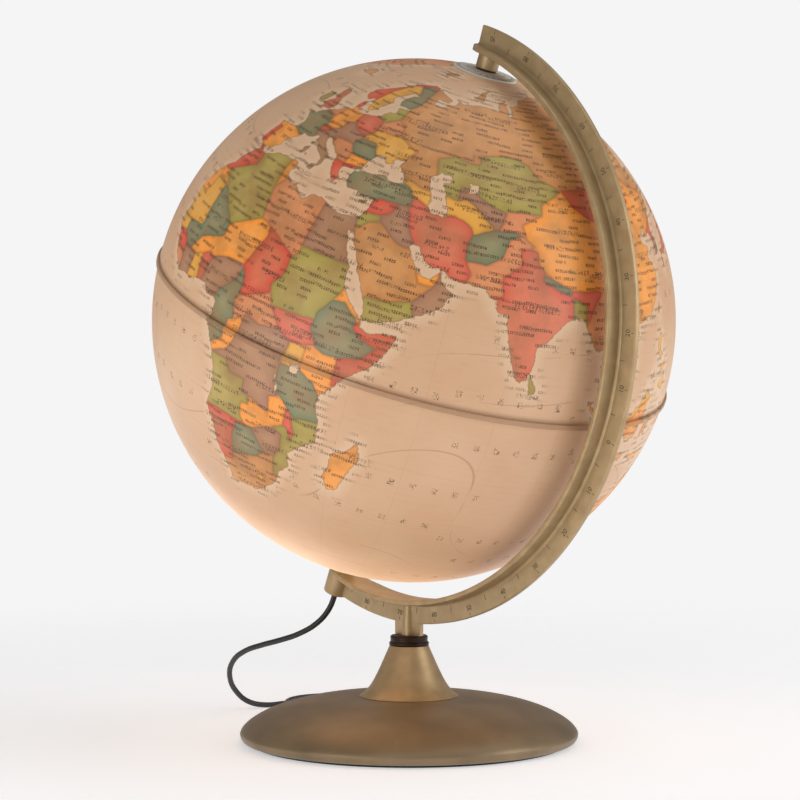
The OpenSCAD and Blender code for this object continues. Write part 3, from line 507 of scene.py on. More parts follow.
# Lands by the letter of their ink. A later outline covers an earlier one, and shores trim them all.
LANDS = """
T 27.5,57 32,53 35,51.5 40,49.5 38.2,47 36,45 40,43.2 48,41.5 48,46 47,50 52,51.5 60,50.8 61,53.5
70,55 77,53.5 80,50.8 87,49 98,50 98,52 107,50 115,50 120,53.3 127,50 135,48.3 131,44.8 131,42.5
145,42 160,48 195,62 195,82 27,82 30,70 30,63 27.5,60;
L 47,50 52,51.5 60,50.8 61,53.8 70,55.3 77,53.8 80,51 87,49 85,47 80,45 80,42.5 70,42 66,42 62,43.5
56,45 56,41.5 53,42 50,44.5 49,46.3; M 56,45 60,44.5 62,43.5 66,42 70,41 71,40 67,37.2 62,40.5
56,41.5; Y 53,42 56,41.5 58,42.5 62,40.5 66.5,37.5 62,35.4 59,38 53,37; S 70,42 80,42.5 74,39.5
75,37.2 71,36.8 68,37 69,40; R 87.8,49 98,50 98,52 107,50 116,50 120,47.5 112,45 105,41.6 97,42.8
91,45.3; O 74,39.5 80,42.5 80,45 85,47.2 87.8,49 91,45.3 97,42.8 105,41.6 112,45 120,47 116,49.8
121,53.4 127,50 135,48.3 131,44.8 130.6,42.5 124.3,40 123,38 123,30 120,24 117,21 108,18 108,21.5
102,21.5 98,24.5 98,28 92,27.7 88,27.8 81,30.3 79,32 78.5,34.5 76,36; C 124.3,40 130.6,42.5
128.5,38.3 125,37.7; M 125,37.7 128.5,38.3 130,35 126,33; R 130,30 146,30 147,46 140,46 130.2,34.5;
C 67,23.5 71,24.5 70,28 74.5,31 74,34.5 78.5,34.5 79,32 81,30.3 88,27.8 92,27.8 97,28.2 94.5,24
92.5,21.5 92,23 89,26 88.5,21 86,15 80,5 75,5 70,18; G 80.3,30 88,27.8 88,26.5 84,27.4 80.2,28.8;
L 88.3,26.3 92.3,25 92.4,21 88.8,21.5; S 92.5,21 94.5,24.5 97.5,28.3 98.5,25 101,21.5 98,19 98.8,10
97,10 93,15; R 98,19 100.5,20.3 101,17.7 105.3,16 104.5,14.3 102.5,13.5 102,7 99,6.5 98,10 99,14;
Y 100.5,20.3 102,22.3 105,19 107,15 105.3,14.5 104.5,17 101,17.7; G 102,22.5 108,21.5 106,18
109.6,14 110,11 104.8,8 105,10.5 107.5,12 107,15 105,19.3; L 102.5,13.5 105,14.3 107.5,14.4
107.5,12 104.5,10.4 102.5,11; O 94,7 100,2 104,0.8 109,1.5 112,1 117,4.3 126,5 131,2 141,0 141,-11
95,-11; L 99,6.5 102.5,6.5 104.5,1 100,2.5; Y 109,2 112,1 116,4.3 119,5 117,8 112,4; G 141,0 155,-2
155,-12 141,-11; Y 117,6 127,5 127,20 117,20; S 61.5,25 63,27.3 61,29.7 66,29.9 69.5,32 71,36
74.5,37 78,35.5 74,34.3 74.5,31 70,28 71,24.3 68,23.4 66,24; G 61,29.7 66,29.8 69.5,32 71,36.3
74.8,37.2 71,37.8 67,37.2 62,35.3 60.6,33; C 45,39.5 48,39.6 49,37.5 53.5,37.3 56,38.2 61,36.5
60.6,33 61,29.7 63,27.3 61.5,24.5 57,25.5 50,28 48.3,30.2 46,33.5 44.5,37.5; M 39,33.5 42,37.2
44.8,37.2 46,33.5 48.6,30 47,29 44.7,29.3; R 35.5,36.5 42.3,37.2 41,34.4 38.8,33.4 35.5,32.8;
L 34.2,31.3 35.5,33.2 38.8,33.4 39,32 37,31.5 36,29.2 34.9,29.5; T 35,29.3 37,31.5 39,32 44.7,29.2
47.5,28.5 49.5,28 51,24.5 52,23 55.2,22.7 52,19 46,17.3 43,17.2 42.5,16 38,20; O 51.2,24.5 55,26
56.4,25 55.5,22.8 52,22.8; M 55.3,22.7 56,24.5 57,26.5 61,22.5 53,15.5 52,19; L 42,16.5 43,17.3
46,17.3 52,19 53.2,15.5 52,12 43,12; G 26,42 29,41.6 36,42.5 42.5,41.5 44.8,39.7 44.5,37.2 36.5,37
35.9,35.8 27,35.8 25.5,39.5; Y 40,43.5 46,41.8 49,41.8 50.5,40 48.8,38.4 44.8,39.7 42.5,41.5
41.3,41.6; Y 22.2,48.2 24,51.7 31,52 35,51.2 40,49.7 38.2,47 37,44.5 33,44 29.5,45.4 28,48;
S 23.6,52 24,54 27,56 31,55.5 32.5,53 31,51.6 24,51.7; L 20.5,55.3 20,58 24,59.8 28,59.5 28,56.2
24,54; C 14.3,54.2 19.5,54.8 23.5,54 24,50.5 22.5,49.2 18.5,49.5 15,51; O 6.5,51 7,54 9,55 14.3,54.3
15,51 12.5,50.2 13,47.7 7.6,47.6 6.3,49.3; M 12.5,50.3 15,51 18.5,49.5 22.4,49 22,48 20.5,46.2
17,45.8 13,46.7 10,47 13,48.6; G 20.5,46.2 22.5,48.2 27,48.3 29.7,45.2 28.8,43.7 23,43.9;
O 22.5,44 28.8,43.7 28,41.9 22.8,41.4; S 13.5,45.5 17,46.3 20.5,46 22.6,44.3 22.8,41.3 19.2,41.6
15,43; R 19.3,41.5 22.8,41.3 26.3,41.6 27,36 21,36; M 6.8,44 7,46 12.5,46.8 13.7,45.5 19.5,40
15.5,36 12,36.5 7.5,38.8; R 6,46.2 7.6,47.6 10,47 10,46.3 7.2,45.9; G -5.5,48.5 2,51.2 6.3,49.4
7.6,47.6 6,46.2 7.5,44 9.7,42 8.5,41.6 5,42.6 3,42.5 -1.8,43.3; O -9.7,43.8 -1.8,43.5 3.5,42.4 0,37
-5.5,35.9 -7.3,37.2 -7,41.8 -9,42; R -9.9,42 -6.5,41.8 -7.3,37 -9.7,36.8; C -6.2,49.5 2,50.5 2,59
-7,60; L -10.7,51.2 -6,52 -5.5,54 -7,55.8 -10.7,54.5; S 2.5,51 5.5,53.5 7,53.3 6.3,49.5; R 8,54.9
13,54.9 11,58 8,57.3; R 4,58 7,57.5 11.5,58.9 12.5,64 16,68 20,69 25,68.6 30,69.5 31,71.5 14,70
4,62; Y 11.5,58.9 12.5,55 17,56 19,60 24,65.8 20.5,69 16,68 12.5,64; G 20.5,69 26,70 29,69.5 30,63
28,60.4 22,59.5 20,62.8 24,65.8; O -25,63 -13,63 -13,67 -25,67;
L -8.7,27.4 -8.7,28.7 -1.2,32.2 -2.2,35.4 0,36.8 8.6,37.8 8.3,35 9.5,30.2 12,23.5 3.2,19 1,21;
R -13,27.7 -8.7,27.7 -8.7,28.7 -1.2,32.2 -2.2,35.5 -6,36.5 -11,32; O -17.5,21.2 -13,21.4 -12,23.4
-12,26 -8.7,26 -8.7,27.7 -13.5,28 -17.5,24; Y -17.5,16 -12,14.8 -5.5,15.5 -6.5,25 -4.8,25 -8.7,27.3
-8.7,26 -12,26 -12,23.4 -13,21.4 -17.5,21; G -12,14.7 -11.5,12.2 -8,10.3 -5.5,10.5 -3,13.8 1,15
4,16.5 4,19.2 -4.8,25 -6.5,25 -5.5,15.5; Y -18,12.4 -11.5,12.3 -12,14.8 -18,16.3; R -15.5,11
-11.5,12.4 -8,10.3 -8,7.7 -10.5,8.5 -13.6,9; S -13.6,9 -10.5,8.5 -8,7.7 -7.5,4 -12.5,7; M -8.3,10.4
-3,9.8 -3,5 -7.5,4 -8,7.7; Y -3,11 0,11 1.2,6 -3,4.5; O -5.5,10.4 -3,13.8 0.2,15 2.3,12 0,11
-3,9.8; C 0,11 2.3,12.2 3.6,11.5 2.7,6 1.2,5.8; O 0.2,14.9 4,16.5 4,19.2 12,23.5 15,23 16,21
13.5,13.6 7,13 3.6,11.7; M 2.7,6 3.6,11.7 7,13 13.6,13.6 13,10.5 9,6 8.6,3.8 4,4.5; R 15,23
24,19.5 24,15.7 22,12.6 22.8,11 15.5,7.5 15,10 13.5,13.6 16,21; S 9.5,30.3 12,23.5 15,23 24,19.5
25,20 25,32.5 11.5,33.6; O 8.3,35 8.6,37.8 11.7,37.4 11.5,33.2 9.5,30.3; M 25,22 37,22 34,28
34.3,31.4 29,32 25,32; L 24,19.5 25,20 25,22 37.5,22 39,18 36.5,14.5 34,11 34,9.5 24,8.7 22.8,11
22,12.7 24,15.7; C 24,8.7 34,9.5 33,7.8 36,5 34,4 30,3.5 27.5,5; G 34,8 34,11 36.5,14.5 39,14.8
42.3,12.5 42,10.5 44,9 48,8 45,5 42,4.2 38,3.6 36,4.5; O 36.5,14.5 38.5,18.5 43.6,12.6 42.3,12.2
39,14.8; R 42.5,11.6 42,10.5 44,9 48,8 45,5 42,4.2 41,3.8 41,-1.9 50,4 53,12; O 34,4 36,4.5 38,3.6
41,3.8 41,-2 39.2,-5 37.7,-3 34,-1; Y 30,3.5 34,4 34,-1 29.6,-1.3; G 29.6,-1.2 34,-1 37.7,-3
39.2,-4.9 41.5,-10.4 36,-11.5 33,-9.5 29.5,-6; M 12,-5.9 16.5,-5.8 18,-8 22,-8 22,-11 24,-11
29,-13.3 28.5,-9 31,-8.5 29.5,-6 29.6,-1.2 30.5,3.5 27.5,5 22.5,4.3 18.5,4.8 17.8,0 16,-3.5;
G 8.2,1 11.3,2.2 14.5,1.5 14,-2.3 11,-4; O 11,-4 14,-2.3 14.5,1.8 16,3 18.5,4 17.8,0 16,-3.8
11.8,-5.3; G 8.3,4.2 9,6 13,10.5 14.2,13 15.5,10 14.5,6 16,2.2 9.3,2.2; S 14.5,6 15.5,7.6 22.8,11
24,8.7 27.4,5 22.5,4.2 18.5,4.8 16,2.4; L 12,-5.8 16.5,-5.8 18,-8 22,-8 22,-11 24,-11 24,-13
22,-13 22,-16.2 23.4,-17.6 18.5,-17.4 11.4,-17.2; O 22,-13 24,-13 24,-11 28.5,-12.5 29,-13.4
29.8,-12.2 28.5,-9 31,-8.3 33,-9.6 33,-14 30.3,-15.3 27,-17.9 23.4,-17.6 22,-16.2; C 33,-9.5
34.6,-11.5 35.8,-15 35,-17 34.3,-14.6 33,-14; L 34.6,-11.5 41,-10.4 41.5,-16 36,-21 33.5,-27.2
32,-26.8 31.8,-23 33,-20 33,-16.3 30.3,-15.3 33,-14 34.3,-14.6 35,-17 35.8,-15; M 25.2,-17.8
30.3,-15.4 33,-16.4 33,-20 31.3,-22.3 29.3,-22.2 27.5,-20.5; G 20,-22 21,-18.3 25.2,-17.8
27.5,-20.5 29.3,-22.3 26.5,-24.6 23,-25.4 20,-26.6; R 11.3,-17.2 23.4,-17.6 25.2,-17.8 21,-18.3
20,-22 20,-28.4 16,-28.9 12,-24; T 16,-28.9 20,-28.4 20,-26.7 23,-25.4 26.5,-24.6 29.3,-22.2
31.3,-22.3 31.9,-26.8 33.5,-27 31,-36 17,-36; Y 27,-29.6 28.6,-28.7 29.4,-29.5 28,-30.6;
O 42,-27 52,-27 52,-11 42,-11; L 79.3,5 82,5 82,10.5 80,9.9 79.3,8.5;
S -141,71 -141,60 -131,56 -134,50 -123,48.3 -95,49 -89,48 -83,42 -76,44 -71,45 -67,45 -66,40 -50,45
-50,60 -66,84 -130,78; O -130,48.5 -95,49.1 -88,48.1 -83,42 -76,44.1 -69,47.3 -66,44.5 -70,38
-79,24 -97,25.8 -103,29 -107,31.6 -117,32.5 -130,40; O -172,50 -150,50 -131,55 -141,60 -141,72
-172,72; R -118,32.4 -107,31.5 -103,29 -97,25.7 -90,24 -86,22 -89,17.8 -92,14.3 -118,18;
G -92.3,14 -90.5,17.8 -88,18.6 -82,15 -77,8.5 -84,6; C -86,24 -60,24 -60,16 -80,16; T -80,8.8
-71,12.9 -72,8 -67,6 -67,1 -70,-4 -80,1; L -73,12.5 -60,12 -60,5 -64,1 -67,1.5 -67,6 -72,7.5;
R -60,9 -49.5,6 -52,2 -58,1.5 -60,5; C -82,1.5 -75,0 -79,-5 -82,-3.5; O -82.5,-4 -79,-5 -75,0
-70,-4.3 -73,-9 -69,-12 -70,-18.4 -82,-14; G -50.5,5 -60,5 -64,1.5 -70,1 -70,-4.3 -74,-8 -65,-10
-60,-14 -58,-20 -54,-26 -57.6,-30.5 -53,-34 -30,-20 -32,-3; S -69,-11 -65,-10 -60,-14 -58,-20
-63,-22.5 -68,-22.5 -69.5,-17; Y -63,-22 -58,-20 -54.5,-26 -58.5,-27; C -77,-17.5 -69.5,-17.5
-68,-24 -70,-33 -72,-45 -72,-52 -68.5,-53 -68.5,-57 -78,-56; L -66,-22 -63,-22.3 -58,-27.5 -54,-26
-57.6,-30.5 -58,-34 -54,-40 -60,-56 -68.5,-57 -68.5,-52 -72,-50 -72,-42 -70,-33 -68,-25; O -57.8,-30.3
-53,-33.5 -53,-36 -58.5,-34; S -74,59 -10,59 -10,85 -62,84 -66,81 -75,78; O 110,-10 129,-10 129,-37
110,-37; T 129,-9 138,-9 138,-26 141,-26 141,-40 129,-40; Y 138,-9 155,-9 155,-29 141,-29 141,-26
138,-26; R 141,-29 155,-29 152,-38 141,-34; G 141,-34 152,-38 150,-45 140,-45; C 163,-19 180,-33
180,-48 163,-48; S -179.9,-60 179.9,-60 179.9,-90 -179.9,-90
"""
INKS = {"T": "CF8746", "O": "FB9A2E", "Y": "E9A634", "R": "D83F30", "C": "DB5545", "S": "DC8556",
        "G": "697B5C", "L": "A0953F", "M": "A4725A"}
REACH = 6.0


def outlines_of(text):
    """Splits a list of outlines into arrays of longitude and latitude, with each one's letter."""
    for part in text.split(";"):
        words = part.split()
        letter = words.pop(0) if words[0].isalpha() else ""
        yield letter, np.array([[float(v) for v in word.split(",")] for word in words])


def inward(outline, lon, lat):
    """Degrees from each point to an outline, positive inside it and cut off at REACH: the least
    distance to its sides, with degrees of longitude shrunk by the cosine of the latitude."""
    middle = (outline[:, 0].min() + outline[:, 0].max()) / 2
    x = (lon - middle + 180) % 360 - 180
    corners = outline - [middle, 0]
    shrink = np.maximum(np.cos(np.radians(lat)), 0.02)
    near, inside = np.full(np.broadcast(x, lat).shape, REACH), False
    for (ax, ay), (bx, by) in zip(corners, np.roll(corners, -1, 0)):
        ux, uy, vx, vy = (bx - ax) * shrink, by - ay, (x - ax) * shrink, lat - ay
        t = np.clip((vx * ux + vy * uy) / (ux * ux + uy * uy + 1e-9), 0, 1)
        near = np.minimum(near, np.hypot(vx - t * ux, vy - t * uy))
        inside = inside ^ (((ay > lat) != (by > lat)) & (x < ax + (bx - ax) * (lat - ay) / (by - ay + 1e-12)))
    return np.where(inside, near, -near)


def chart(lon, lat):
    """The map as distances in degrees: land against sea, and the reach of each of the nine inks.
    Land is the greatest of the shores' and minus the waters'; a land gives way to later ones."""
    land = -REACH + 0 * lon * lat
    for _, outline in outlines_of(SHORES):
        land = np.maximum(land, inward(outline, lon, lat))
    for _, outline in outlines_of(WATERS):
        land = np.minimum(land, -inward(outline, lon, lat))
    inks = {letter: -REACH + 0 * land for letter in INKS}
    taken = -REACH + 0 * land
    for letter, outline in list(outlines_of(LANDS))[::-1]:
        here = inward(outline, lon, lat)
        inks[letter] = np.maximum(inks[letter], np.minimum(here, -taken))
        taken = np.maximum(taken, here)
    return land, np.stack([inks[letter] for letter in INKS], -1)


def marks_in_rows(add, lon, lat, row_of):
    """Rows of made-up letters, from 0 to 1: words of a set length along a parallel, some left blank,
    and in each letter's box the thin level lines of noise, which read as pen strokes."""
    pitch, letter, fill, word, much, tall, pen = row_of
    rows = add("Math:DIVIDE", lat, pitch)
    row, level = add("Math:FLOOR", rows), add("Math:FRACT", rows)
    shrink = add("Math:COSINE", add("Math:MULTIPLY", row, float(np.radians(pitch))))
    luck = add("TexWhiteNoise", {"W": row}, noise_dimensions="1D").node.outputs["Value"]
    along = add("Math:DIVIDE", add("Math:MULTIPLY", lon, shrink), letter)
    along = add("Math:MULTIPLY_ADD", luck, 40.0, along)
    stroke, across = add("Math:FLOOR", along), add("Math:FRACT", along)
    word_no = add("Math:FLOOR", add("Math:DIVIDE", stroke, float(word)))
    draw = add("TexWhiteNoise", add("CombineXYZ", word_no, row, letter))
    # Each word stands at its own height in its row.
    nudge = add("SeparateXYZ", draw.node.outputs["Color"])
    nudge = add("Math:MULTIPLY_ADD", nudge, 0.9 - 0.9 * tall, 0.05 - 0.05 * tall)
    high = add("Math:DIVIDE", add("Math:SUBTRACT", level, nudge), tall)
    nib = add("CombineXYZ", add("Math:MULTIPLY_ADD", stroke, 5.3, add("Math:DIVIDE", across, fill)),
              add("Math:MULTIPLY_ADD", row, 3.7, high), letter)
    strokes = add("Math:COMPARE", add("TexNoise", {0: nib, "Scale": 2.3, "Detail": 0}), 0.5, pen)
    in_word = add("Math:MULTIPLY", add("Math:LESS_THAN", draw, much), strokes)
    in_box = add("Math:MULTIPLY", add("Math:LESS_THAN", across, fill),
                 add("Math:COMPARE", high, 0.5, 0.5))
    return add("Math:MULTIPLY", in_word, in_box)


def printed_map():
    """Offset-printed map film on a translucent plastic ball, lit from within, with that light painted on as
    emission: warm parchment seas, inks that deepen towards their borders, and fine dark marks as a small
    globe's names read."""
    made, tree, shader = finish_of("printed_map_film", IOR=1.5, Coat_Weight=0.12,
                                   Coat_Roughness=0.25)
    add = partial(node, tree)
    spot = add("TexCoord").node.outputs["Object"]
    frayed, clouds, tooth, wash, swirl = (
        add("TexNoise", {"Vector": spot, "Scale": 1 / (size * MM), "Detail": detail,
                         "Roughness": roughness})
        for size, detail, roughness in ((4.2, 5, 0.6), (55, 6, 0.5), (0.9, 2, 0.5), (16, 4, 0.5),
                                        (110, 0, 0.5)))
    chart_uv = add("SeparateXYZ", add("UVMap", uv_map="chart")).node
    lon, lat = (add("Math:MULTIPLY", chart_uv.outputs[n], 360.0) for n in (0, 1))

    # Degrees inland, or out to sea below zero, with a shoreline that noise makes ragged.
    shore = add("Attribute", attribute_name="land").node.outputs["Fac"]
    shore = add("Math:ADD", shore, add("Math:MULTIPLY_ADD", frayed, 1.5, -0.75))

    # The greatest of the nine reaches picks the ink; its lead over the next one is the border.
    best, second, colour = -90.0, -90.0, paint("D8975C")
    for k, group in enumerate(("ink_a", "ink_b", "ink_c")):
        sway = add("TexNoise", {"Vector": spot, "Scale": 1 / ((5 + k) * MM), "Detail": 3})
        reach = add("Attribute", attribute_name=group).node.outputs["Vector"]
        reach = add("VectorMath:MULTIPLY_ADD", sway.node.outputs["Color"], (0.9, 0.9, 0.9), reach)
        three = add("SeparateXYZ", reach).node
        for n in range(3):
            value, ink = three.outputs[n], paint(list(INKS.values())[3 * k + n])
            second = add("Math:MAXIMUM", second, add("Math:MINIMUM", best, value))
            ahead = add("Math:GREATER_THAN", value, best)
            colour = add("Mix", {0: ahead, 6: colour, 7: ink}, data_type="RGBA")
            best = add("Math:MAXIMUM", best, value)
    lead = add("Math:SUBTRACT", best, second)
    sea = add("Mix", {0: add("MapRange", clouds, 0.3, 0.7), 6: paint("CA9F7B"),
                      7: paint("D6B291")}, data_type="RGBA")
    shallows = add("MapRange", shore, -2.6, 0.0, 0.0, 0.3)
    sea = add("Mix", {0: shallows, 6: sea, 7: paint("ECD8BA")}, data_type="RGBA")
    # On the inks: pale hearts, the frozen south, blotches and the dark edges along the borders.
    for share, code in ((add("MapRange", lead, 0.0, 5.0, 0.0, 0.2), "EBC48C"),
                        (add("MapRange", lat, -62, -58, 0.8, 0.0), "EFDFC6"),
                        (add("MapRange", wash, 0.42, 0.68, 0.1, 0.55), "8C6238"),
                        (add("MapRange", add("Math:ABSOLUTE", lead), 0.1, 0.9, 0.4, 0.0), "6B4A33")):
        colour = add("Mix", {0: share, 6: colour, 7: paint(code)}, data_type="RGBA")
    face = add("Mix", {0: add("MapRange", shore, -0.06, 0.06), 6: sea, 7: colour},
               data_type="RGBA")
    layers = [(add("MapRange", add("Math:ABSOLUTE", shore), 0.03, 0.22, 0.5, 0.0), "7A5636")]

    # In degrees, the pitch of the rows and of the letters; the part of its pitch that a letter
    # fills; letters in a word; the part of the words that is printed; a letter's height as a part
    # of the row; how thick the pen is; and how dark the marks are, ashore and at sea.
    worn = add("MapRange", frayed, 0.34, 0.46)
    for *row_of, deep, ashore, at_sea in (
            (1.55, 0.5, 0.75, 5, 0.5, 0.42, 0.13, 0.95, 1.0, 0.05),
            (4.3, 0.75, 0.75, 7, 0.34, 0.24, 0.075, 0.95, 1.0, 0.04),
            (11.0, 4.4, 0.3, 6, 0.5, 0.13, 0.05, 0.8, 0.0, 1.0)):
        marks = marks_in_rows(add, lon, lat, row_of)
        marks = add("Math:MULTIPLY", marks, add("MapRange", shore, -3.2, -0.4, at_sea, ashore))
        layers.append((add("Math:MULTIPLY", marks, add("Math:MULTIPLY", worn, deep)), "3F2415"))

    # Net of meridians and parallels each fifteen degrees, and thin bent lines of sea currents.
    for angle, width in ((lon, 0.08), (lat, 0.07)):
        away = add("Math:FRACT", add("Math:MULTIPLY_ADD", angle, 1 / 15, 0.5))
        away = add("Math:ABSOLUTE", add("Math:SUBTRACT", away, 0.5))
        layers.append((add("MapRange", away, width / 30, width / 10, 0.13, 0.0), "8A6A4A"))
    level = add("Math:FRACT", add("Math:DIVIDE", add("Math:MULTIPLY_ADD", swirl, 70.0, lat), 17.0))
    level = add("Math:ABSOLUTE", add("Math:SUBTRACT", level, 0.5))
    stream = add("Math:MULTIPLY", add("MapRange", level, 0.005, 0.013, 0.4, 0.0),
                 add("MapRange", clouds, 0.44, 0.5))
    stream = add("Math:MULTIPLY", stream, add("MapRange", shore, -2.5, -1.0, 1.0, 0.0))

    # Glue line: the tape over the joint is a little browner. North of it, a soft painted shadow stands for
    # the joint ring inside, which shades the lamp's light. The emission is painted light for the lamp within:
    # strongest near its holder at the south pole, and faint to the north.
    north, south, painted_glow = (add("MapRange", lat, *span, interpolation_type="SMOOTHSTEP")
                          for span in ((0.62, 1.9, 0.5, 0.0), (-0.75, -0.5, 0.0, 0.5),
                                       (-74, -34, 1.3, 0.1)))
    aged = add("MapRange", clouds, 0.35, 0.75, 0.0, 0.14)
    # The minimum of north and south is the tape's own browner tint, and the fade of north above it is painted
    # shadow.
    layers += [(stream, "8A5A3C"), (add("Math:MINIMUM", north, south), "7A5436"), (aged, "B98A5E")]
    for share, code in layers:
        face = add("Mix", {0: share, 6: face, 7: paint(code)}, data_type="RGBA")
    tree.links.new(face, shader.inputs["Emission Color"])
    # Painted light: the film's emission is strongest towards the south, stands in for the lamp inside, and
    # lightens the ball's underside.
    tree.links.new(painted_glow, shader.inputs["Emission Strength"])
    return surfaced(made, face, tooth, (0.42, 0.55), 0.3, 0.02)


# ---- Ball ---------------------------------------------------------------------------------------

MAP_EAST = 97.4  # longitude that faces e1 of the tilted frame
COLUMNS = 480
map_film = printed_map()


def printed_on(lat, turn, sign):
    """The map's fields and UV for a closed grid of rows at a latitude and columns at a turn, which
    grows from column to column, or falls for a sign of -1."""
    lon = MAP_EAST + turn
    land, inks = chart(lon[None, :], lat[:, None])
    fields = {"land": land.ravel(), "ink_a": inks[..., 0:3].reshape(-1, 3),
              "ink_b": inks[..., 3:6].reshape(-1, 3), "ink_c": inks[..., 6:9].reshape(-1, 3)}
    lon_line = np.append(lon, lon[-1] + sign * 360 / len(lon)) / 360
    return {"outlines": (np.append(lat, lat[0]) / 360, lon_line),
            "fields": {key: np.ascontiguousarray(v, np.float32) for key, v in fields.items()}}


def shell_piece(name, sign, hole_r, node_name):
    """Half of the ball: point = centre + R (cos b cos a e1 + cos b sin a e2 + sin b e3), from the
    equator's joint up to the pole hole on the outside and back down inside on a smaller radius."""
    foot, top = 1.45 / BALL_R, np.arccos(hole_r / BALL_R)
    up = np.linspace(foot, top, 120)
    inner_r = BALL_R - SKIN
    down = np.linspace(np.arccos(hole_r / inner_r), 0.001, 14)
    b = np.concatenate([up, down])
    r = np.concatenate([0 * up + BALL_R, 0 * down + inner_r])
    a = np.arange(COLUMNS) * 2 * np.pi / COLUMNS
    grid = place(TILTED, r[:, None] * np.cos(b)[:, None] * np.cos(a),
                 r[:, None] * np.cos(b)[:, None] * np.sin(a), sign * (r * np.sin(b))[:, None] + 0 * a)
    if sign < 0:
        grid = grid[:, ::-1]
        a = a[::-1]
    lat = sign * np.degrees(b)
    return piece(name, [grid], map_film, "ball", "printed_shell", [node_name], wrap=(True, True),
                 merge=False, **printed_on(lat, np.degrees(a), sign))


shell_piece("map_shell_north", 1, NORTH_HOLE_R, "north_shell")
shell_piece("map_shell_south", -1, SOUTH_HOLE_R, "south_shell")


def band_piece():
    """Tape over the joint: a flat-topped bead whose crest ripples 0.05 mm, 360 times round. The map
    is printed on across it."""
    outline = rounded([[BALL_R, -1.5, 0.1], [BALL_R + 1.5, -1.45, 0.6], [BALL_R + 1.5, 1.45, 0.6],
                       [BALL_R, 1.5, 0.1]])
    columns = 1440
    a = np.arange(columns) * 2 * np.pi / columns
    ripple = 1 - 0.0008 * (outline[:, :1] > 150.5) * (0.5 + 0.5 * np.cos(360 * a))
    r = outline[:, :1] * ripple
    grid = place(TILTED, r * np.cos(a), r * np.sin(a), outline[:, 1:] + 0 * a)
    lat = np.degrees(np.arctan2(outline[:, 1], outline[:, 0]))
    return piece("equator_tape", [grid], map_film, "ball", "band_tape", ["equator_band"],
                 wrap=(True, True), sharp=60, merge=False, **printed_on(lat, np.degrees(a), 1))


band_piece()


def dial_finish():
    """Card printed with an hour ring: pale grey, with twenty-four strokes and two thin circles."""
    made, tree, _ = finish_of("printed_card_dial", IOR=1.48)
    add = partial(node, tree)
    turn, radius = add("SeparateXYZ", add("UVMap", uv_map="chart")).node.outputs[:2]
    spot = add("TexCoord").node.outputs["Object"]
    fibre = add("TexNoise", {"Vector": spot, "Scale": 1 / (1.2 * MM), "Detail": 4})
    face = add("Mix", {0: fibre, 6: paint("CDC8BE"), 7: paint("E2DED5")}, data_type="RGBA")
    prints = []
    for count, low, high, width in ((24, 0.66, 0.9, 0.035), (96, 0.82, 0.9, 0.05)):
        phase = add("Math:FRACT", add("Math:MULTIPLY", turn, float(count)))
        stroke = add("Math:COMPARE", phase, 0.5, width * count / 24)
        ring = add("Math:COMPARE", radius, (low + high) / 2, (high - low) / 2)
        prints.append(add("Math:MULTIPLY", stroke, ring))
    prints += [add("Math:COMPARE", radius, at, 0.008) for at in (0.6, 0.93)]
    for share in prints:
        face = add("Mix", {0: share, 6: face, 7: paint("5B5247")}, data_type="RGBA")
    return surfaced(made, face, fibre, (0.55, 0.75), 0.3, 0.03)


def dial_piece():
    """A cap of card on the ball: its outline rises 0.9 mm over the ball with a rounded edge."""
    flat = np.linspace(6.4, 17.5, 24)
    r = np.concatenate([[6.05, 6.05], flat, [17.85, DISC_R, DISC_R]])
    lift = np.concatenate([[0.02, 0.75], 0 * flat + 0.9, [0.82, 0.6, 0.02]])
    h = np.sqrt(BALL_R ** 2 - r ** 2) + lift
    columns = 192
    grid = turned(np.stack([r, h], -1), TILTED, columns)
    return piece("hour_dial", [grid], dial_finish(), "ball", "dial_card", ["hour_disc"],
                 outlines=(r / DISC_R, np.arange(columns + 1) / columns), merge=False)


dial_piece()
piece("north_pole_bush", [turned(rounded([[2.1, 145, 0.1], [NORTH_HOLE_R, 145, 0.3],
                                          [NORTH_HOLE_R, 151.1, 0.5],
                                          [2.1, 151.1, 0.2]]), TILTED, 96)],
      nylon, "ball", "brown_bush", ["pole_bush"], wrap=(True, True))
piece("south_pole_bush", [turned(rounded([[5.1, -150.7, 0.2], [SOUTH_HOLE_R, -150.7, 0.5],
                                          [SOUTH_HOLE_R, -144.5, 0.3],
                                          [5.1, -144.5, 0.1]]), TILTED, 96)],
      acetal, "ball", "bearing_plastic", ["south_bush"], wrap=(True, True))

# ---- Arm ----------------------------------------------------------------------------------------

NORTH_BOSS_R = 6.3
SOUTH_BOSS_R = 7.5
FOOT_HALF = 7.1  # half the strip's width where it meets the south boss
TAPER = 24  # length over which the strip narrows to that


def arm_sweep(section, degrees, straight=(0.0, 0.0), widths=None):
    """A section of radius and side carried round the ball's centre in the plane of the arm:
    point = centre + r (cos b e1 + sin b e3) + y e2, running on straight past either end."""
    b = np.radians(degrees)
    before, after = straight
    turn = np.concatenate([0 * np.atleast_1d(before) + b[0], b, 0 * np.atleast_1d(after) + b[-1]])
    slide = np.concatenate([-np.atleast_1d(before), 0 * b, np.atleast_1d(after)])
    r, y = section[None, :, 0], section[None, :, 1] * (1 if widths is None else widths[:, None])
    radial = np.cos(turn)[:, None, None] * ACROSS + np.sin(turn)[:, None, None] * POLE
    along = -np.sin(turn)[:, None, None] * ACROSS + np.cos(turn)[:, None, None] * POLE
    return CENTRE + r[..., None] * radial + slide[:, None, None] * along + y[..., None] * SIDE


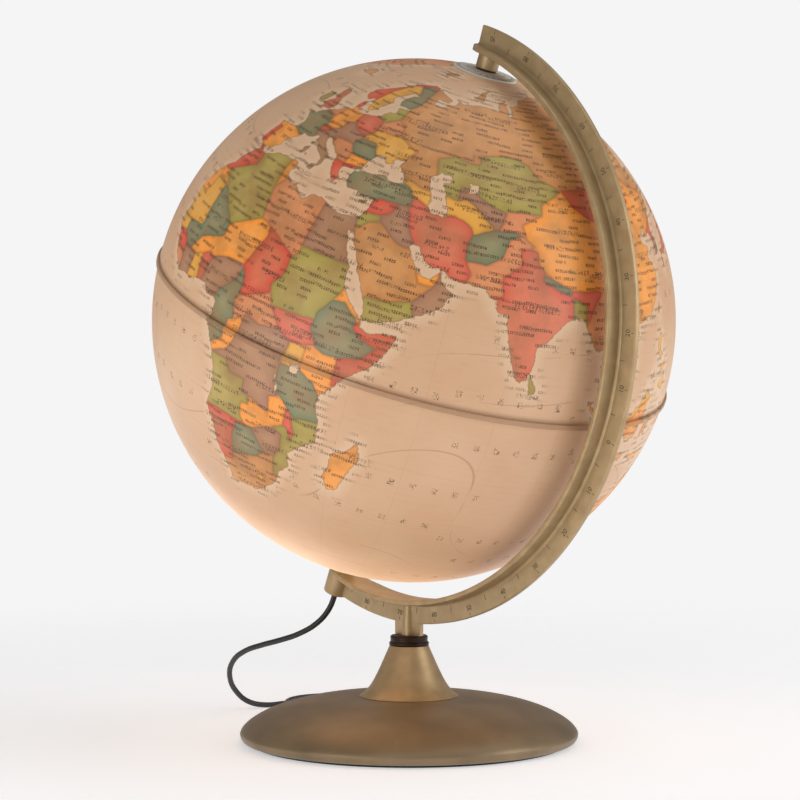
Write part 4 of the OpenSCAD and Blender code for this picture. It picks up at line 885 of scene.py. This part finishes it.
def arm_flange():
    """The strip under the web: an oblong section whose width closes as a half circle at the north
    pole and narrows to the boss over the last 24 mm before the south pole."""
    half = FLANGE_W / 2
    s = np.sin(np.linspace(0, np.pi / 2, 25)[1:]) * half
    s[-1] = half - 0.001
    ends = np.sqrt(1 - (s / half) ** 2)
    degrees = np.linspace(-90, 90, 241)
    foot = FOOT_HALF / half
    narrow = np.clip(np.radians(degrees + 90) * ARM_R / TAPER, 0, 1) * (1 - foot) + foot
    widths = np.concatenate([narrow, ends])
    section = rounded([[ARM_R, -half, 0.5], [ARM_R, half, 0.5], [FLANGE_R, half, 0.8],
                       [FLANGE_R, -half, 0.8]])
    return capped(arm_sweep(section, degrees, ([], s), widths))


def arm_web():
    """The rib on the strip, with a fillet at its root and a softened outer edge."""
    half = WEB_T / 2
    section = rounded([[ARM_R + 1, -half - 0.9, 0], [FLANGE_R - 0.1, -half - 0.9, 0.1],
                       [FLANGE_R + 1.0, -half, 0.8], [WEB_R, -half, 0.6], [WEB_R, half, 0.6],
                       [FLANGE_R + 1.0, half, 0.8], [FLANGE_R - 0.1, half + 0.9, 0.1],
                       [ARM_R + 1, half + 0.9, 0]])
    return capped(arm_sweep(section, np.linspace(-90, 93.5, 245)))


def upright_plate(half_x, half_y, z0, z1, edge):
    """An oblong section with rounded corners carried straight up."""
    outline = rounded([[-half_x, -half_y, edge], [half_x, -half_y, edge], [half_x, half_y, edge],
                       [-half_x, half_y, edge]])
    z = np.array([z0, z0 + 0.3, z1])
    size = np.array([0.97, 1.0, 1.0])[:, None]
    return capped(place(UPRIGHT, size * outline[:, 0], size * outline[:, 1],
                        z[:, None] + 0 * outline[:, 0]))


column = [[0, 44, 0], [4.4, 44, 0.3], [4.4, 62, 1], [3.4, 81.6, 0.4], [0, 81.6, 0]]
north_boss = [[2.0, 151.7, 0], [NORTH_BOSS_R, 151.7, 0.5], [NORTH_BOSS_R, 161, 0], [2.0, 161, 0]]
south_boss = [[5.0, -SOUTH_END, 0], [SOUTH_BOSS_R, -SOUTH_END, 0.7], [SOUTH_BOSS_R, -160.3, 0.2],
              [5.0, -160.3, 0]]
arm_grids = [arm_flange(), arm_web(), upright_plate(10.8, 1.46, 62, 74, 0.4)]
arm_grids += [turned(rounded(outline, False), where, 96)
              for outline, where in ((column, UPRIGHT), (north_boss, TILTED), (south_boss, TILTED))]
piece("meridian_arm", arm_grids, bronze, "stand", "lacquered_arm", ["arm"], sharp=40)


NUMBER_R = 168.7  # radius of the numbers' middles
TICK_HALF = 0.16


def scale_ticks():
    """Raised strokes on both faces of the web: an eight-cornered block for each, set out in radius
    and angle, every five degrees from the strip, and a short one under each number."""
    degrees = np.arange(-90, 91, 5)[:, None, None]
    tenth = degrees % 10 == 0
    low, high = np.where(tenth, 171.2, 164.6), np.where(tenth, 172.9, 168.0)
    x, y, z = np.array([[x, y, z] for x in (-1, 1) for y in (0, 1) for z in (0, 1)], float).T
    side = np.array([[-1.0], [1.0]])
    b = np.radians(degrees) + TICK_HALF / 168 * x + 0 * side
    r = low + (high - low) * y + 0 * side
    points = place(ARM_PLANE, r * np.cos(b), r * np.sin(b),
                   side * (WEB_T / 2 - 0.05 + 0.12 * z)).reshape(-1, 3)
    faces = np.array([[0, 1, 3, 2], [4, 6, 7, 5], [0, 4, 5, 1], [2, 3, 7, 6], [0, 2, 6, 4],
                      [1, 5, 7, 3]])
    first = 8 * np.arange(len(points) // 8)[:, None, None]
    return points, (faces + first).reshape(-1, 4)


def scale_numbers():
    """Generic degree numbers from 90 at the poles to 0 at the middle, bent along both faces."""
    points, faces, start = [], [], 0
    for degrees in range(-90, 91, 10):
        text = bpy.data.curves.new("degree", "FONT")
        text.body = str(abs(degrees))
        text.size, text.align_x, text.align_y, text.extrude = 4.2, "CENTER", "CENTER", 0.05
        text.resolution_u = 3
        carrier = bpy.data.objects.new("degree", text)
        mesh = bpy.data.meshes.new_from_object(carrier)
        flat = np.empty(3 * len(mesh.vertices))
        mesh.vertices.foreach_get("co", flat)
        flat = flat.reshape(-1, 3)
        shapes = [list(polygon.vertices) for polygon in mesh.polygons]
        for side in (-1.0, 1.0):
            b = np.radians(degrees) - side * flat[:, 0] / 168.5
            r = NUMBER_R - flat[:, 1]
            y = side * (WEB_T / 2 + 0.02 + flat[:, 2])
            points.append(place(ARM_PLANE, r * np.cos(b), r * np.sin(b), y))
            faces += [[v + start for v in shape] for shape in shapes]
            start += len(flat)
        bpy.data.objects.remove(carrier)
        bpy.data.meshes.remove(mesh)
    return np.concatenate(points), faces


def scale_piece():
    """Strokes and numbers as one printed piece."""
    ticks, tick_faces = scale_ticks()
    digits, digit_faces = scale_numbers()
    mesh = bpy.data.meshes.new("degree_scale")
    mesh.from_pydata(np.concatenate([ticks, digits]) * MM, [],
                     tick_faces.tolist() + [[v + len(ticks) for v in shape] for shape in digit_faces])
    return dressed("degree_scale", mesh, scale_ink, "stand", "lacquered_arm")


scale_piece()


# ---- Base ---------------------------------------------------------------------------------------

def dome(edge, low, high, inside, steps=64):
    """A flat crown that curves down to its edge: z = low + (high - low)(1 - x^2)^0.625, where x runs
    from 0 at the flat's radius of 30 to 1 at the edge."""
    r = inside + (edge - inside) * np.sin(np.linspace(0, np.pi / 2, steps))
    x = np.clip((r - 30) / (edge - 30), 0, 1)
    return np.stack([r, low + (high - low) * (1 - x * x) ** 0.625], -1)


def base_outline():
    """Dome, rolled rim, turned-in lip and the dome's underside, as one closed outline."""
    roll = np.radians(np.linspace(4, 88, 14))[:, None]
    rim = np.hstack([93.5 + 4 * np.cos(roll), 6 - 4.5 * np.sin(roll)])
    lip = np.array([[93.3, 1.5], [91.7, 1.6], [91.5, 1.9], [94.2, 5.8]])
    under = dome(95.5, 6, CROWN_Z - 2, 6)
    return np.concatenate([dome(BASE_R, 6, CROWN_Z, 6), rim, lip, under[under[:, 0] < 94][::-1]])


def cone_outline():
    """A straight flank that flares at the foot: r = 11.3 + 0.44 (56 - z) + 4.8 exp(-(z - 27) / 4)."""
    z = CROWN_Z + 0.8 + (CONE_Z - CROWN_Z - 0.8) * np.linspace(0, 1, 48) ** 1.6
    r = 11.3 + 0.44 * (CONE_Z - z) + 4.8 * np.exp(-(z - CROWN_Z) / 4)
    flank = np.stack([r, z], -1)
    foot = [[BORE_R, CROWN_Z], [28.3, CROWN_Z], [28.7, CROWN_Z + 0.2]]
    return np.concatenate([foot, flank, [[11.2, CONE_Z], [BORE_R, CONE_Z]]])


piece("base_disc", [turned(base_outline(), UPRIGHT, 256)], base_bronze, "stand", "lacquered_base",
      ["base_shell"], wrap=(True, True), sharp=50)
piece("cone_spinning", [turned(cone_outline())], bronze, "stand", "lacquered_base",
      ["pedestal_cone"], wrap=(True, True), sharp=50)
collar = [[BORE_R, CONE_Z, 0], [11.1, CONE_Z, 0.3], [11.5, 56.5, 0.2], [11.5, 57.8, 0.4],
          [11.0, 58.3, 0.2], [10.7, 58.6, 0.2], [10.9, 61.3, 0.5], [10.2, COLLAR_Z, 0.3],
          [BORE_R, COLLAR_Z, 0]]
piece("collar_moulding", [turned(rounded(collar))], dark_brown, "stand", "dark_collar",
      ["collar"], wrap=(True, True), sharp=50)

# Carried-over nodes whose own shape is right, with the finish that each is made in.
for finish, names in ((iron, ["base_weight"]), (cover, ["base_plate"]), (felt, ["felt_pad"]),
                      (zinc, ["cover_screws", "stay_bolt", "stay_washer", "stay_nut", "axle_pin",
                              "lamp_tube", "tube_nut"]),
                      (bronze, ["south_spacer"]), (acetal, ["thrust_washer"]),
                      (porcelain, ["lamp_holder"]), (nickel, ["bulb_cap"]), (opal, ["bulb_glass"]),
                      (styrene, ["joint_ring"]), (pvc, ["cord_gland"])):
    for name in names:
        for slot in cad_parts[name].material_slots:
            slot.material = finish


# ---- Stage --------------------------------------------------------------------------------------

def floor_piece():
    """A plain pale disc: rings of points, whose finish fades out to the backdrop past its middle."""
    rings, columns, radius = 40, 96, 1400
    r = np.linspace(0, 1, rings)[:, None] ** 1.5 * radius
    points = turned(np.hstack([r, 0 * r - 0.02]), UPRIGHT, columns)
    mesh = bpy.data.meshes.new("floor")
    mesh.from_pydata((points * MM).reshape(-1, 3), [],
                     quads_of(rings, columns, False, True)[0].tolist())
    made, tree, shader = finish_of("matt_studio_paper", Roughness=0.9, Emission_Strength=0.5,
                                   Emission_Color=paint("F3F5F8"))
    shader.inputs["Base Color"].default_value = paint("E6E6E8")
    away = node(tree, "VectorMath:LENGTH", node(tree, "TexCoord").node.outputs["Object"])
    fade = node(tree, "MapRange", away.node.outputs["Value"], 0.22, 1.0, 1.0, 0.0,
                interpolation_type="SMOOTHSTEP")
    tree.links.new(fade, shader.inputs["Alpha"])
    mesh.materials.append(made)
    made = bpy.data.objects.new("floor", mesh)
    bpy.context.scene.collection.objects.link(made)


floor_piece()


def softbox(name, place_at, aim_at, size, power, tint):
    """A square soft light at one point, turned towards another."""
    lamp = bpy.data.lights.new(name, "AREA")
    lamp.shape, lamp.size, lamp.energy, lamp.color = "SQUARE", size, power, tint
    made = bpy.data.objects.new(name, lamp)
    made.location = place_at
    way = np.array(aim_at) - np.array(place_at)
    made.rotation_euler = Euler((np.arccos(-way[2] / np.linalg.norm(way)), 0,
                                 np.arctan2(way[1], way[0]) - np.pi / 2))
    bpy.context.scene.collection.objects.link(made)


def studio():
    """An even pale backdrop. What falls on the object is brighter from below, as off a white table,
    and dim from behind the camera."""
    world = bpy.data.worlds.new("studio")
    bpy.context.scene.world = world
    world.use_nodes = True
    tree = world.node_tree
    tree.nodes.clear()
    way = node(tree, "TexCoord").node.outputs["Generated"]
    rise = node(tree, "SeparateXYZ", way).node.outputs[2]
    back = node(tree, "VectorMath:DOT_PRODUCT", way, (0.74, -0.67, 0.05)).node.outputs["Value"]
    level, dim = (node(tree, "MapRange", *span, interpolation_type="SMOOTHSTEP")
                  for span in ((rise, -0.12, 0.06, 1.42, 0.34), (back, 0.6, 0.95, 1.0, 0.48)))
    level = node(tree, "Math:MULTIPLY", level, dim)
    seen = node(tree, "LightPath").node.outputs["Is Camera Ray"]
    room = node(tree, "Background", {"Color": paint("F7F3EE"), "Strength": level})
    backdrop = node(tree, "Background", {"Color": paint("F5F5F6"), "Strength": 1.0})
    node(tree, "OutputWorld", node(tree, "MixShader", seen, room, backdrop))


studio()
softbox("key", (1.0, -1.1, 1.35), (0, 0, 0.25), 0.9, 2.5, (1, 0.98, 0.95))
softbox("fill", (1.5, 1.0, 0.7), (0, 0, 0.2), 1.2, 11, (1, 0.98, 0.96))
softbox("top", (0.5, 0.4, 1.9), (0, 0, 0.2), 1.2, 6, (1, 1, 1))
softbox("card", (0.1, -0.95, 0.03), (0, 0, 0.12), 0.6, 2.9, (1, 0.94, 0.87))
